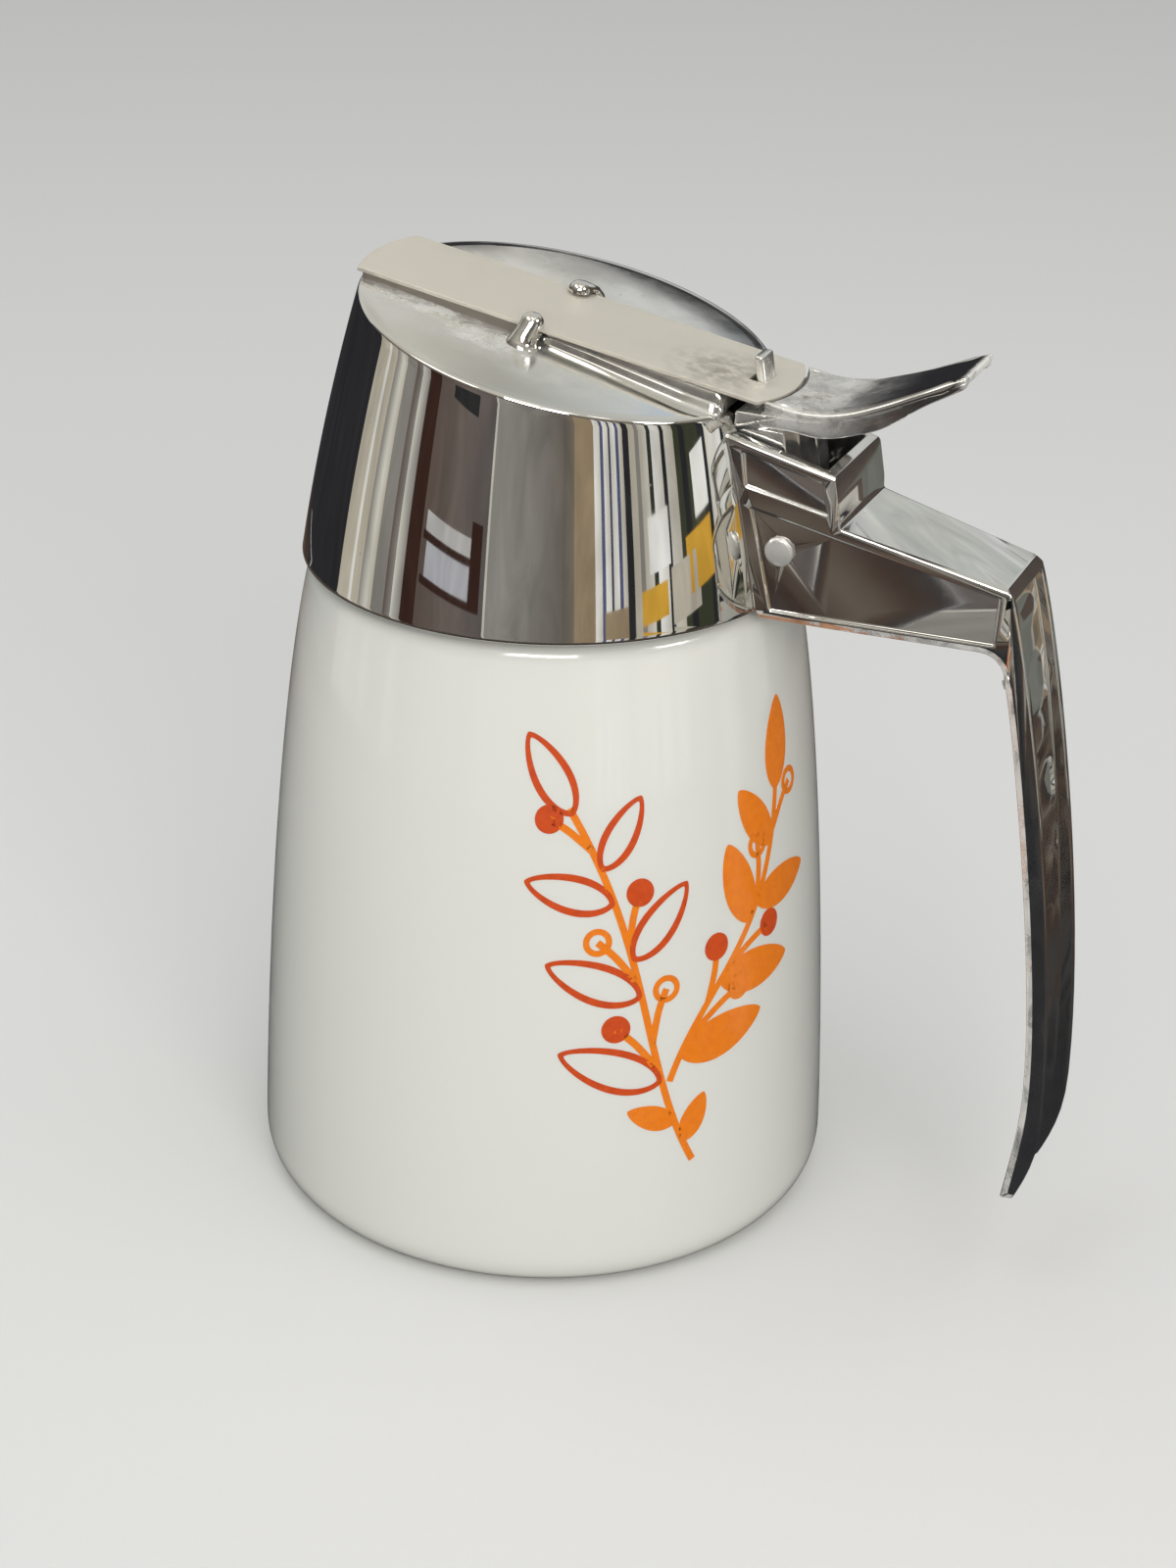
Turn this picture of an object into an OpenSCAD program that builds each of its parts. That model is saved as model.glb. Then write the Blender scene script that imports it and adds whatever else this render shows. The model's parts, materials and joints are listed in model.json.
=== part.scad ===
// Table syrup dispenser: a glass jar with a screw-on pouring head.
// A thin blade closes the spout, and a thumb lever draws it back against a spring.
// The origin is the centre of the jar's foot. +Z is up and the grip is on the +X side.

/* [Jar] */
// Largest diameter of the jar
jar_d = 82; // [81:0.5:83]
// Height of the shoulder, just under the head
shoulder_z = 93.2; // [93:0.1:93.3]
// Radius of the jar at the shoulder
shoulder_r = 33.2; // [32.5:0.1:33.6]
// Thickness of the glass wall
glass_t = 3.3; // [2.8:0.1:3.6]
// Outside diameter of the neck
neck_d = 56.6; // [56:0.1:56.8]
// Height of the rim of the mouth
rim_z = 106.2; // [106:0.1:106.4]

/* [Screw thread] */
// Rise of the thread in one turn
thread_pitch = 4.2; // [4:0.1:4.6]
// Turns of thread on the neck and in the head
thread_turns = 1.25; // [1:0.25:1.25]

/* [Head] */
// Height of the head's lower edge
collar_z = 93.7; // [93.6:0.05:93.9]
// Radius of the head at its lower edge
collar_r = 34.3; // [34:0.1:34.6]
// Height of the deck on the jar's axis
deck_z = 125.66; // [125:0.1:126]
// Slope of the deck, in degrees
deck_tilt = 11.57; // [11:0.1:12]
// Thickness of the deck
deck_t = 2.2; // [1.8:0.1:2.4]

/* [Blade] */
// Width of the blade
blade_w = 17.2; // [17:0.1:17.6]
// Thickness of the blade
blade_t = 0.8; // [0.6:0.1:0.8]
// Height of the blade's upper face on the jar's axis
blade_z = 127.67; // [127.5:0.05:127.8]
// Slope of the blade, in degrees
blade_tilt = 9.7; // [9.6:0.05:9.8]

/* [Arm and grip] */
// Distance of the arm's end from the jar's axis
arm_end_x = 66.3; // [66:0.1:66.6]
// Height of the arm's upper face at its end
arm_end_z = 102.1; // [101.8:0.1:102.4]
// Width of the grip
grip_w = 14; // [13:0.5:15]
// Distance of the grip's back from the jar's axis
grip_x = 76.75; // [76:0.25:77.5]

/* [Lever] */
// Distance of the pivot pin from the jar's axis
pivot_x = 35.9; // [35.8:0.05:36]
// Height of the pivot pin
pivot_z = 102.7; // [102.6:0.05:102.8]
// Diameter of the pivot pin
pin_d = 3; // [2.6:0.1:3]
// Width of the thumb pad over the spring box
pad_w = 16.2; // [15.6:0.2:16.4]
// Width of the thumb pad's tip
pad_tip_w = 11.5; // [11:0.5:13]
// Diameter of the return spring's wire
wire_d = 0.9; // [0.7:0.05:0.9]

/* [Hidden] */
$fn = 96;

jar_r = jar_d / 2;
foot_corner = [4, 5];
base_t = 5;
neck_r = neck_d / 2;
mouth_r = neck_r - 3.5;

thread_bore_r = neck_r + 2;
thread_reach = 1.3;
thread_z = 98.2;
thread_root_w = 2.2;
thread_crest_w = 1.2;

gasket_t = 1.3;
seat_z = rim_z + gasket_t;
collar_lean = 0.154;
collar_curl = 0.0017;
cavity_low_r = 27;
cavity_high_r = 25;
cavity_top_z = 131;

spout_x = -22.9;
spout_w = 4.6;
spout_len = 9.6;

slide_gap = 0.06;
blade_end_r = 27.05;
blade_tail_r = 18.3;
blade_tail_x = 34.4;
slot_from = 28.35;
slot_to = 31.6;

arm_root_x = 29.3;
arm_root_z = 110.3;
arm_low_z = 93;
arm_slope = (arm_root_z - arm_end_z) / (arm_end_x - arm_root_x);
panel_depth = 0.5;
root_half = 9.65;
box_half = 8.9;
grip_half = grip_w / 2;
box_start = [27.3, 117.9];
box_end = [42.8, 114];
box_foot = [43.8, 108.2];
box_wall = 1.5;
pocket_half = 7.4;
pocket_floor = 96.5;
channel_wall = 1.3;
arm_t = 2.2;
fillet_x = 62.7;
fillet_r = 3.5;

hub_r = 3;
bore_gap = 0.05;
pad_half = pad_w / 2;
pad_tip_x = 57.9;
skirt_t = 1.4;
block_half = 6.7;
recess_z = 120.4;
tab_w = 4;

lug_r = 1.35;

spring_r = 2.7;
spring_turns = 2.5;
spring_y = -6.6;
spring_pitch = 1.4;

chrome = "silver";
steel = "gainsboro";

// Curves

// A smooth curve from p[0] to p[3], drawn towards p[1] and p[2] on the way
function bend(p, n) = [
    for (i = [0:n])
        let (t = i / n, u = 1 - t)
        u * u * u * p[0] + 3 * t * u * u * p[1] + 3 * t * t * u * p[2] + t * t * t * p[3]
];

function arc(centre, r, from, to, n) = [
    for (i = [0:n])
        let (a = from + (to - from) * i / n)
        centre + r * [cos(a), sin(a)]
];

function reversed(list) = [for (i = [len(list) - 1:-1:0]) list[i]];

// Outer radius of the head at height z
function collar_at(z) = collar_r - collar_lean * (z - collar_z) - collar_curl * pow(z - collar_z, 2);

// Height of the arm's upper face
function arm_top(x) = arm_root_z - arm_slope * (x - arm_root_x);

// Height of the spring box's upper edge
function box_top(x) = box_start[1] + (x - box_start[0]) * (box_end[1] - box_start[1]) / (box_end[0] - box_start[0]);

// Height of the deck and of the blade's lower face
function deck_at(x) = deck_z - tan(deck_tilt) * x;
function blade_under(x) = blade_z - blade_t / cos(blade_tilt) - tan(blade_tilt) * x;

// Half the handle's width at distance x from the axis
function half_at(x) = x < box_end[0]
    ? root_half + (box_half - root_half) * (x - box_start[0]) / (box_end[0] - box_start[0])
    : box_half + (grip_half - box_half) * (x - box_end[0]) / (arm_end_x - box_end[0]);

// Shared shapes

// Stands an outline drawn in x and z upright, with a thickness w across y
module upright(w) {
    rotate([90, 0, 0])
        linear_extrude(height = w, center = true)
            children();
}

// The same, between two values of y
module upright_between(y0, y1) {
    translate([0, (y0 + y1) / 2, 0])
        upright(y1 - y0)
            children();
}

// A straight or tapered round rod between two points
module rod(p, q, r1, r2) {
    v = q - p;
    translate(p)
        rotate([0, acos(v[2] / norm(v)), atan2(v[1], v[0])])
            cylinder(h = norm(v), r1 = r1, r2 = r2);
}

// All space above a plane that crosses the axis at height z and falls towards +X
module above(z, tilt) {
    translate([0, 0, z])
        rotate([0, tilt, 0])
            translate([-60, -60, 0])
                cube([120, 120, 60]);
}

// A thread's raised bead: root_r to crest_r, rising from z with the thread's pitch
module thread_bead(root_r, crest_r, z) {
    steps = 36;
    n = round(steps * thread_turns);
    fade = 4;
    bead = [
        for (i = [0:n])
            let (
                a = 360 * i / steps,
                zi = z + thread_pitch * i / steps,
                f = max(0.1, min(1, i / fade, (n - i) / fade)),
                crest = root_r + (crest_r - root_r) * f
            )
            for (c = [
                [root_r, -thread_root_w / 2], [crest, -thread_crest_w / 2],
                [crest, thread_crest_w / 2], [root_r, thread_root_w / 2]
            ])
                [c[0] * cos(a), c[0] * sin(a), zi + c[1]]
    ];
    sides = [
        for (i = [0:n - 1])
            for (k = [0:3])
                let (a = 4 * i + k, b = 4 * i + (k + 1) % 4)
                for (t = [[a, b, b + 4], [a, b + 4, a + 4]])
                    t
    ];
    ends = [[0, 3, 2], [0, 2, 1], [4 * n, 4 * n + 1, 4 * n + 2], [4 * n, 4 * n + 2, 4 * n + 3]];
    faces_out = concat(sides, ends);
    polyhedron(bead, crest_r > root_r ? faces_out : [for (f = faces_out) reversed(f)]);
}

// Jar

// The inside of the jar, as an outline in radius and height
function jar_hollow() = concat(
    [[0, base_t]],
    arc([jar_r - glass_t - 6, base_t + 6], 6, -90, 0, 8),
    bend([
        [jar_r - glass_t, base_t + 8], [jar_r - glass_t + 0.1, 20],
        [shoulder_r + 5.95 - glass_t, shoulder_z - 30], [shoulder_r - glass_t - 1, shoulder_z - 6]
    ], 20),
    bend([
        [shoulder_r - glass_t - 1.4, shoulder_z - 4.8], [shoulder_r - glass_t - 3, shoulder_z],
        [mouth_r, shoulder_z + 1], [mouth_r, shoulder_z + 5]
    ], 8),
    [[mouth_r, rim_z + 1], [0, rim_z + 1]]
);

// The outside of the jar, as an outline in radius and height
function jar_outside() = concat(
    [[0, 0]],
    [
        for (a = [-90:10:0])
            [jar_r - foot_corner[0] + foot_corner[0] * cos(a), foot_corner[1] + foot_corner[1] * sin(a)]
    ],
    bend([
        [jar_r, foot_corner[1] + 0.4], [jar_r + 0.1, 10.4],
        [shoulder_r + 5.95, shoulder_z - 25.7], [shoulder_r, shoulder_z]
    ], 28),
    [[shoulder_r - 0.5, shoulder_z + 0.25], [neck_r + 1.2, shoulder_z + 0.25]],
    arc([neck_r + 1.2, shoulder_z + 1.45], 1.2, 270, 180, 4),
    arc([neck_r - 1.2, rim_z - 1.2], 1.2, 0, 90, 5),
    arc([mouth_r + 1, rim_z - 1], 1, 90, 170, 4),
    [[mouth_r - 0.5, rim_z - 2], [0, rim_z - 2]]
);

module glass_jar() color("white") {
    difference() {
        rotate_extrude()
            polygon(jar_outside());
        rotate_extrude()
            polygon(jar_hollow());
    }
    thread_bead(neck_r - 0.4, neck_r + thread_reach, thread_z);
}

module mouth_gasket() color("dimgray")
    rotate_extrude()
        translate([mouth_r + 0.5, rim_z])
            square([thread_bore_r - 0.4 - mouth_r - 0.5, gasket_t]);

// Head

// The head's full round outside, before the deck is cut
module collar_body() {
    top_z = 134;
    rotate_extrude()
        polygon(concat(
            [[0, collar_z], [collar_r - 0.45, collar_z], [collar_r - 0.1, collar_z + 0.2]],
            [for (z = [collar_z + 0.7:4.03:top_z]) [collar_at(z), z]],
            [[collar_at(top_z), top_z], [0, top_z]]
        ));
}

// The space inside the head over the jar's mouth
module head_cavity() {
    translate([0, 0, collar_z - 1])
        cylinder(h = seat_z - collar_z + 1, r = thread_bore_r);
    difference() {
        translate([0, 0, seat_z - 1])
            cylinder(h = cavity_top_z - seat_z + 1, r1 = cavity_low_r, r2 = cavity_high_r);
        above(deck_z - deck_t / cos(deck_tilt), deck_tilt);
    }
}

// The oblong hole at the lip that the syrup runs through
module spout_hole() {
    r = spout_w / 2;
    translate([spout_x, 0, deck_z - 2])
        linear_extrude(height = 20) {
            square([spout_w, spout_len - spout_w], center = true);
            for (s = [-1, 1])
                translate([0, s * (spout_len / 2 - r)])
                    circle(r = r);
        }
}

// The space in the spring box and the head's rim where the lever works
module lever_pocket() {
    wall_x = box_end[0] - box_wall;
    foot_x = box_foot[0] - box_wall;
    upright(2 * pocket_half)
        polygon([
            [27.2, 130], [27.2, 115], [31.9, 108], [31.9, pocket_floor],
            [foot_x, pocket_floor], [foot_x, box_foot[1]], [wall_x, box_end[1]], [wall_x - 2, 130]
        ]);
}

// The raised bed that the blade slides on, with two rounded beads along each side
module blade_track() {
    half = 7.4;
    start_x = 1;
    end_x = 26;
    upright(2 * half)
        polygon([
            [-26, deck_at(-26) - 1], [-26, blade_under(-26) - slide_gap],
            [27.2, blade_under(27.2) - slide_gap], [27.2, deck_at(27.2) - 1]
        ]);
    for (s = [-1, 1]) {
        hull() {
            translate([start_x, s * half, deck_at(start_x)])
                sphere(r = 0.3, $fn = 12);
            translate([end_x, s * (half + 0.4), deck_at(end_x)])
                sphere(r = 1, $fn = 16);
            translate([end_x, s * (half + 2.6), deck_at(end_x)])
                sphere(r = 0.6, $fn = 16);
        }
        rod([start_x, s * (half - 0.2), deck_at(start_x) + 0.5], [end_x, s * (half + 0.2), deck_at(end_x) + 1], 0.4, 0.95);
        translate([end_x, s * (half + 0.2), deck_at(end_x) + 1])
            sphere(r = 0.95, $fn = 32);
        rod([start_x, s * half, deck_at(start_x) + 0.1], [end_x, s * (half + 2.4), deck_at(end_x) + 0.2], 0.3, 0.95);
        translate([end_x, s * (half + 2.4), deck_at(end_x) + 0.2])
            sphere(r = 0.95, $fn = 32);
    }
}

module head_shell() color(chrome) {
    difference() {
        union() {
            difference() {
                collar_body();
                above(deck_z, deck_tilt);
            }
            intersection() {
                blade_track();
                collar_body();
            }
        }
        head_cavity();
        spout_hole();
        lever_pocket();
    }
    thread_bead(thread_bore_r + 0.4, thread_bore_r - thread_reach, thread_z - thread_pitch / 2);
}

// Arm and grip

// Everything within the handle's tapering width, less an inset on each side
module handle_width(inset = 0) {
    xs = [20, box_end[0], arm_end_x, 90];
    halves = [half_at(20), box_half, grip_half, grip_half];
    linear_extrude(height = 140)
        polygon(concat(
            [for (i = [0:3]) [xs[i], -halves[i] + inset]],
            [for (i = [3:-1:0]) [xs[i], halves[i] - inset]]
        ));
}

// The back edge of the handle, from the arm's end down to the tip
function handle_back() = concat(
    bend([[arm_end_x + 0.2, arm_end_z - 0.8], [69.5, 92.5], [grip_x, 54.5], [grip_x, 28]], 20),
    bend([[grip_x, 27], [grip_x, 20], [grip_x - 1.85, 16], [grip_x - 3.1, 13.2]], 6)
);

// The edge of the handle that faces the jar, from the tip up to the arm's lower face
function handle_front() = concat(
    bend([[grip_x - 4.8, 13], [grip_x - 4.1, 18], [grip_x - 3, 24], [grip_x - 3, 30]], 6),
    bend([[grip_x - 3, 31], [grip_x - 3, 49.5], [67.6, 85], [66.2, 89.6]], 20),
    arc([fillet_x, arm_low_z - fillet_r], fillet_r, 5, 90, 6)
);

module handle_side() {
    polygon(concat(
        [[24, arm_low_z], [24, arm_top(24)], [arm_end_x - 0.6, arm_top(arm_end_x - 0.6)]],
        handle_back(),
        handle_front()
    ));
}

// The hollow along the grip's back, shallow at the top and deeper below
module grip_channel() {
    floor_line = concat(
        bend([[arm_end_x - 0.9, arm_end_z - 1.6], [68.2, 92.5], [grip_x - 1.9, 54.5], [grip_x - 1.9, 28]], 20),
        [[grip_x - 3.4, 14], [grip_x - 4.2, 10]]
    );
    upright(grip_w - 2 * channel_wall)
        polygon(concat(floor_line, [[90, 10], [90, arm_end_z - 1.6]]));
}

// Cuts a shallow panel into both sides of the handle
module side_panel(outline) {
    difference() {
        upright(40)
            polygon(outline);
        handle_width(panel_depth);
    }
}

module handle_arm() color(chrome) {
    border = 1.5;
    difference() {
        intersection() {
            union() {
                upright(40)
                    handle_side();
                upright(40)
                    polygon([[24, 100], [24, box_top(24)], box_end, box_foot, [box_foot[0] + 0.1, 100]]);
            }
            handle_width();
            translate([0, -30, arm_low_z])
                cube([100, 60, 60]);
        }
        collar_body();
        translate([0, 0, 80])
            cylinder(h = collar_z - 79.9, r = collar_r + 0.2);
        lever_pocket();
        grip_channel();
        side_panel([
            [31.9, arm_top(31.9) - border], [35.1, arm_low_z + border - 0.1],
            [64.6, arm_low_z + border - 0.1], [64.9, arm_top(64.9) - border]
        ]);
        side_panel([
            [30.4, box_top(30.4) - border], [box_end[0] - border, box_top(box_end[0] - border) - border],
            [box_foot[0] - border - 0.2, arm_top(42) + 1.1], [31, arm_top(31) + 1.1]
        ]);
        intersection() {
            translate([0, 0, arm_low_z - 1])
                linear_extrude(height = 30)
                    polygon([[46.5, -6.2], [62.6, -5], [62.6, 5], [46.5, 6.2]]);
            upright(20)
                polygon([[40, 80], [40, arm_top(40) - arm_t], [70, arm_top(70) - arm_t], [70, 80]]);
        }
        translate([pivot_x, 0, pivot_z])
            rotate([90, 0, 0])
                cylinder(h = 30, d = pin_d, center = true);
    }
}

module handle_grip() color(chrome)
    difference() {
        intersection() {
            upright(40)
                handle_side();
            handle_width();
            translate([fillet_x, -30, 0])
                cube([50, 60, arm_low_z]);
        }
        grip_channel();
    }

// Blade and its guides

module cutoff_blade() color(steel)
    translate([0, 0, blade_z])
        rotate([0, blade_tilt, 0])
            translate([0, 0, -blade_t])
                linear_extrude(height = blade_t)
                    difference() {
                        union() {
                            intersection() {
                                translate([-30, -blade_w / 2])
                                    square([50, blade_w]);
                                circle(r = blade_end_r);
                            }
                            intersection() {
                                translate([10, -blade_w / 2])
                                    square([30, blade_w]);
                                translate([blade_tail_x - blade_tail_r, 0])
                                    circle(r = blade_tail_r);
                            }
                        }
                        translate([slot_from, -tab_w / 2 - 0.4])
                            square([slot_to - slot_from, tab_w + 0.8]);
                    }

// Two posts beside the blade, their heads bent over its edges
module blade_guide_lugs() color(chrome)
    difference() {
        for (lug = [[[-1.1, -10.8], [0, -8.95, 128.25]], [[-1.1, 10.4], [-0.4, 8.4, 128.2]]]) {
            foot = concat(lug[0], deck_at(lug[0][0]) - 1.2);
            rod(foot, lug[1] + [0, sign(foot[1]) * 0.4, -0.2], 1.15, 1.15);
            translate(lug[1])
                sphere(r = lug_r, $fn = 32);
        }
        translate([0, 0, blade_z])
            rotate([0, blade_tilt, 0])
                translate([-20, -blade_w / 2 - 0.15, -3])
                    cube([40, blade_w + 0.3, 3.4]);
    }

// Lever, pin and spring

// The upper face of the lever, from the front to the tip
function pad_top() = [
    [28.6, 122], [34, 121.8], [36, 121.65], [38, 121.55], [40, 121.65], [42, 122],
    [44, 122.5], [46, 123.2], [48, 124], [50, 124.9], [52, 125.8],
    [54, 126.75], [56, 127.7], [pad_tip_x, 128.55]
];

// The lower edge of the lever's side skirts, from the tip back to the front
function skirt_low() = [
    [pad_tip_x + 0.1, 127], [56.3, 126.1], [52.5, 123.9], [50.2, 122.2], [47.9, 120.75], [44.5, 119.4],
    [42, 118.65], [39.4, 118.35], [35.1, 118.5], [28.6, 118.8]
];

// The lever's head and pad seen from above, less an inset on each side
module pad_plan(inset = 0) {
    half = pad_half - inset;
    tip = pad_tip_w / 2 - inset;
    linear_extrude(height = 140)
        polygon([
            [20, -half], [44.5, -half], [50, -half + 0.85], [54, -half + 1.3], [pad_tip_x, -tip], [60, -tip + 0.8],
            [60, tip - 0.8], [pad_tip_x, tip], [54, half - 1.3], [50, half - 0.85], [44.5, half], [20, half]
        ]);
}

// All space but the recess in the lever's head that the blade's end lies in
module tail_recess()
    difference() {
        translate([0, -20, 100])
            cube([80, 40, 40]);
        translate([(blade_tail_x - blade_tail_r) * cos(blade_tilt), 0, recess_z])
            cylinder(h = 20, r = blade_tail_r + 0.65);
    }

module thumb_lever() color(chrome)
    difference() {
        union() {
            // pad
            intersection() {
                upright(20)
                    polygon(concat(
                        pad_top(),
                        [for (p = reversed(pad_top())) if (p[0] > 35) p + [0.5, -1.9]],
                        [[28.6, skirt_low()[9][1]]]
                    ));
                pad_plan();
                tail_recess();
            }
            // side skirts
            difference() {
                intersection() {
                    upright(20)
                        polygon(concat(pad_top(), skirt_low()));
                    pad_plan();
                    tail_recess();
                }
                pad_plan(skirt_t);
            }
            // block down to the hub
            upright(2 * block_half)
                polygon([
                    [28.6, 119], [28.3, 116.4], [32.2, 109.5], [32.5, 108.2], [36, 108.2],
                    [35.4, 115], [34.6, 119]
                ]);
            upright_between(-2.4, 5.2)
                polygon([[32.2, 109.5], [32.9, pivot_z], [pivot_x, pivot_z], [36.2, 109.5]]);
            // stem behind the block
            upright(4)
                polygon([
                    [33, 119], [37.8, 120], [37.6, 116.5], [38.3, 112.5],
                    [38.6, 106], [38.9, pivot_z], [33, pivot_z]
                ]);
            // hub
            translate([pivot_x, 0, pivot_z])
                rotate([-90, 0, 0])
                    translate([0, 0, -2.4])
                        cylinder(h = 2.4 + pocket_half - 0.1, r = hub_r);
            // tab through the blade
            upright(tab_w)
                polygon([[29.7, 118.5], [28.5, 125.9], [29.8, 125.9], [31.1, 118.5]]);
        }
        translate([pivot_x, 0, pivot_z])
            rotate([90, 0, 0])
                cylinder(h = 30, d = pin_d + 2 * bore_gap, center = true);
        // hole for the spring's hooked end
        translate([34.2, -1.2, 107.3])
            rotate([90, 0, 0])
                cylinder(h = 3, r = wire_d / 2 + 0.2);
    }

// The pin, with a low domed head at each end
module pivot_pin() color(steel)
    translate([pivot_x, 0, pivot_z])
        rotate([90, 0, 0]) {
            half = 8.75;
            cylinder(h = 2 * half, d = pin_d, center = true);
            for (s = [-1, 1])
                intersection() {
                    translate([0, 0, s * (half - 1.1)])
                        sphere(r = 2.05, $fn = 48);
                    translate([0, 0, s * (half + 0.4)])
                        cube([8, 8, 1.2], center = true);
                }
        }

// Points along the return spring: up the end wall, round the pin, and hooked into the lever
function spring_path() = concat(
    [[41, -0.5, 112.2], [40.9, -1.1, 111.3], [40.55, -2.6, 109.2], [39.9, -4.4, 106.8], [38.9, -6.2, 104.4]],
    [
        for (i = [0:8 * spring_turns])
            let (a = -45 * i)
            [pivot_x + spring_r * cos(a), spring_y + spring_pitch * i / 8, pivot_z + spring_r * sin(a)]
    ],
    [[33.5, -3.1, 104.8], [34, -3.1, 106.6], [34.2, -2.75, 107.2], [34.2, -2.3, 107.3], [34.2, -1.4, 107.3]]
);

function unit(v) = v / norm(v);

// Carries the direction n along the path, square to each tangent
function carried(ts, n, i = 0) = i == len(ts)
    ? []
    : let (m = unit(n - (n * ts[i]) * ts[i])) concat([m], carried(ts, m, i + 1));

module round_wire(path, d) {
    sides = 6;
    last = len(path) - 1;
    tangents = [for (i = [0:last]) unit(path[min(i + 1, last)] - path[max(i - 1, 0)])];
    normals = carried(tangents, [0, 1, 0.3]);
    rings = [
        for (i = [0:last])
            for (k = [0:sides - 1])
                let (a = 360 * k / sides)
                path[i] + d / 2 * (cos(a) * normals[i] + sin(a) * cross(tangents[i], normals[i]))
    ];
    walls = [
        for (i = [0:last - 1])
            for (k = [0:sides - 1])
                let (a = sides * i + k, b = sides * i + (k + 1) % sides)
                for (t = [[a, b + sides, b], [a, a + sides, b + sides]])
                    t
    ];
    caps = [
        for (k = [1:sides - 2])
            for (t = [[0, k, k + 1], [sides * last, sides * last + k + 1, sides * last + k]])
                t
    ];
    polyhedron(rings, concat(walls, caps));
}

// Least clear space between two stretches of the spring
spring_gap = min([
    for (i = [0:len(spring_path()) - 7])
        for (j = [i + 6:len(spring_path()) - 1])
            norm(spring_path()[i] - spring_path()[j])
]) - wire_d;

module return_spring() color(steel) {
    echo("least gap of the return spring to itself, mm", spring_gap);
    round_wire(spring_path(), wire_d);
}

glass_jar();
mouth_gasket();
head_shell();
handle_arm();
handle_grip();
blade_guide_lugs();
cutoff_blade();
thumb_lever();
pivot_pin();
return_spring();
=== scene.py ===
import json
from contextlib import contextmanager
from functools import reduce
from math import atan2, cos, hypot, pi, radians, sin, sqrt, tan

import bmesh
import bpy
import numpy as np
from mathutils import Matrix, Vector


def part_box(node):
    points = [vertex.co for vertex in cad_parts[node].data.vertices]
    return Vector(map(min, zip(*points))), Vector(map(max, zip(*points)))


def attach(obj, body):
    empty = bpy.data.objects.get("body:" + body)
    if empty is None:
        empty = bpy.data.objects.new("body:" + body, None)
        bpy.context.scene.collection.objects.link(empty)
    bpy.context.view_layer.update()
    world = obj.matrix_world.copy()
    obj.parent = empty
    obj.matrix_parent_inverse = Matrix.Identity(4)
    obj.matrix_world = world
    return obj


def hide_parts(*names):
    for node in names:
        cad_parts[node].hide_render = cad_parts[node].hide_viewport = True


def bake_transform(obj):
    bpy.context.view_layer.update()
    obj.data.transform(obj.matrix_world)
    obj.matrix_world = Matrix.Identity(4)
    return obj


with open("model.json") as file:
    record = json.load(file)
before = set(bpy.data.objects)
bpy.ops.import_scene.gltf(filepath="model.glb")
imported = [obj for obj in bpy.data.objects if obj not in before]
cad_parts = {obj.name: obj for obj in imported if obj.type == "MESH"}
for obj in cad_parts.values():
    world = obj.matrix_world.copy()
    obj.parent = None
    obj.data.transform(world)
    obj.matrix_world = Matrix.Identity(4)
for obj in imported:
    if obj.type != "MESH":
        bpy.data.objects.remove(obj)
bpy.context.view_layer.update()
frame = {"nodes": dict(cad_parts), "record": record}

MM = 0.001


def corners_mm(node):
    low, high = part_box(node)
    return low / MM, high / MM


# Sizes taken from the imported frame, in millimetres

JAR_R = corners_mm("glass_jar")[1].x
RIM_Z = corners_mm("glass_jar")[1].z
COLLAR_Z = corners_mm("head_shell")[0].z
PIN_HALF = corners_mm("pivot_pin")[1].y
PIVOT = (corners_mm("pivot_pin")[0] + corners_mm("pivot_pin")[1]) / 2

# Sizes shared with the part's source, in millimetres

SHOULDER_R, SHOULDER_Z = 33.2, 93.2
NECK_R, MOUTH_R = 28.3, 24.8
GLASS_T, BASE_T = 3.3, 5
COLLAR_R, COLLAR_LEAN, COLLAR_CURL = 34.3, 0.154, 0.0017
DECK_Z, DECK_FALL, DECK_T = 125.66, tan(radians(11.57)), 2.2 / cos(radians(11.57))
BLADE_Z, BLADE_FALL, BLADE_T, BLADE_SEEN = 127.67, tan(radians(9.7)), 0.8, 0.5
BORE_R, SEAT_Z, CAVITY_LOW_R, CAVITY_HIGH_R = 30.3, 107.5, 27, 25.4
THREAD_PITCH, THREAD_TURNS, THREAD_Z, THREAD_BEAD_R = 4.2, 1.25, 98.2, 1.15

# The camera stands where the photograph was taken from

CAMERA_AIM = Vector((0, 0, 0.070))
CAMERA_DISTANCE = 0.41695
CAMERA_AZIMUTH = radians(24.275)
CAMERA_HEIGHT = radians(24.737)
CAMERA_ROLL = radians(1.076)
CAMERA_LENS = 68.248
CAMERA_SHIFT = (0.02394, -0.05113)


def set_all(thing, **settings):
    for key, value in settings.items():
        setattr(thing, key, value)
    return thing


def in_scene(name, data):
    made = bpy.data.objects.new(name, data)
    bpy.context.scene.collection.objects.link(made)
    return made


def make_camera():
    back = Vector((
        sin(CAMERA_AZIMUTH) * cos(CAMERA_HEIGHT),
        -cos(CAMERA_AZIMUTH) * cos(CAMERA_HEIGHT),
        sin(CAMERA_HEIGHT),
    ))
    right = Vector((cos(CAMERA_AZIMUTH), sin(CAMERA_AZIMUTH), 0))
    up = back.cross(right)
    across = right * cos(CAMERA_ROLL) + up * sin(CAMERA_ROLL)
    upward = up * cos(CAMERA_ROLL) - right * sin(CAMERA_ROLL)
    shift_x, shift_y = CAMERA_SHIFT
    camera = in_scene("photo_camera", set_all(
        bpy.data.cameras.new("photo_camera"), sensor_width=36, lens=CAMERA_LENS, shift_x=shift_x,
        shift_y=shift_y, clip_start=0.01,
    ))
    turn = Matrix((across, upward, back)).transposed().to_4x4()
    camera.matrix_world = Matrix.Translation(CAMERA_AIM + back * CAMERA_DISTANCE) @ turn
    bpy.context.scene.camera = camera


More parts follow.
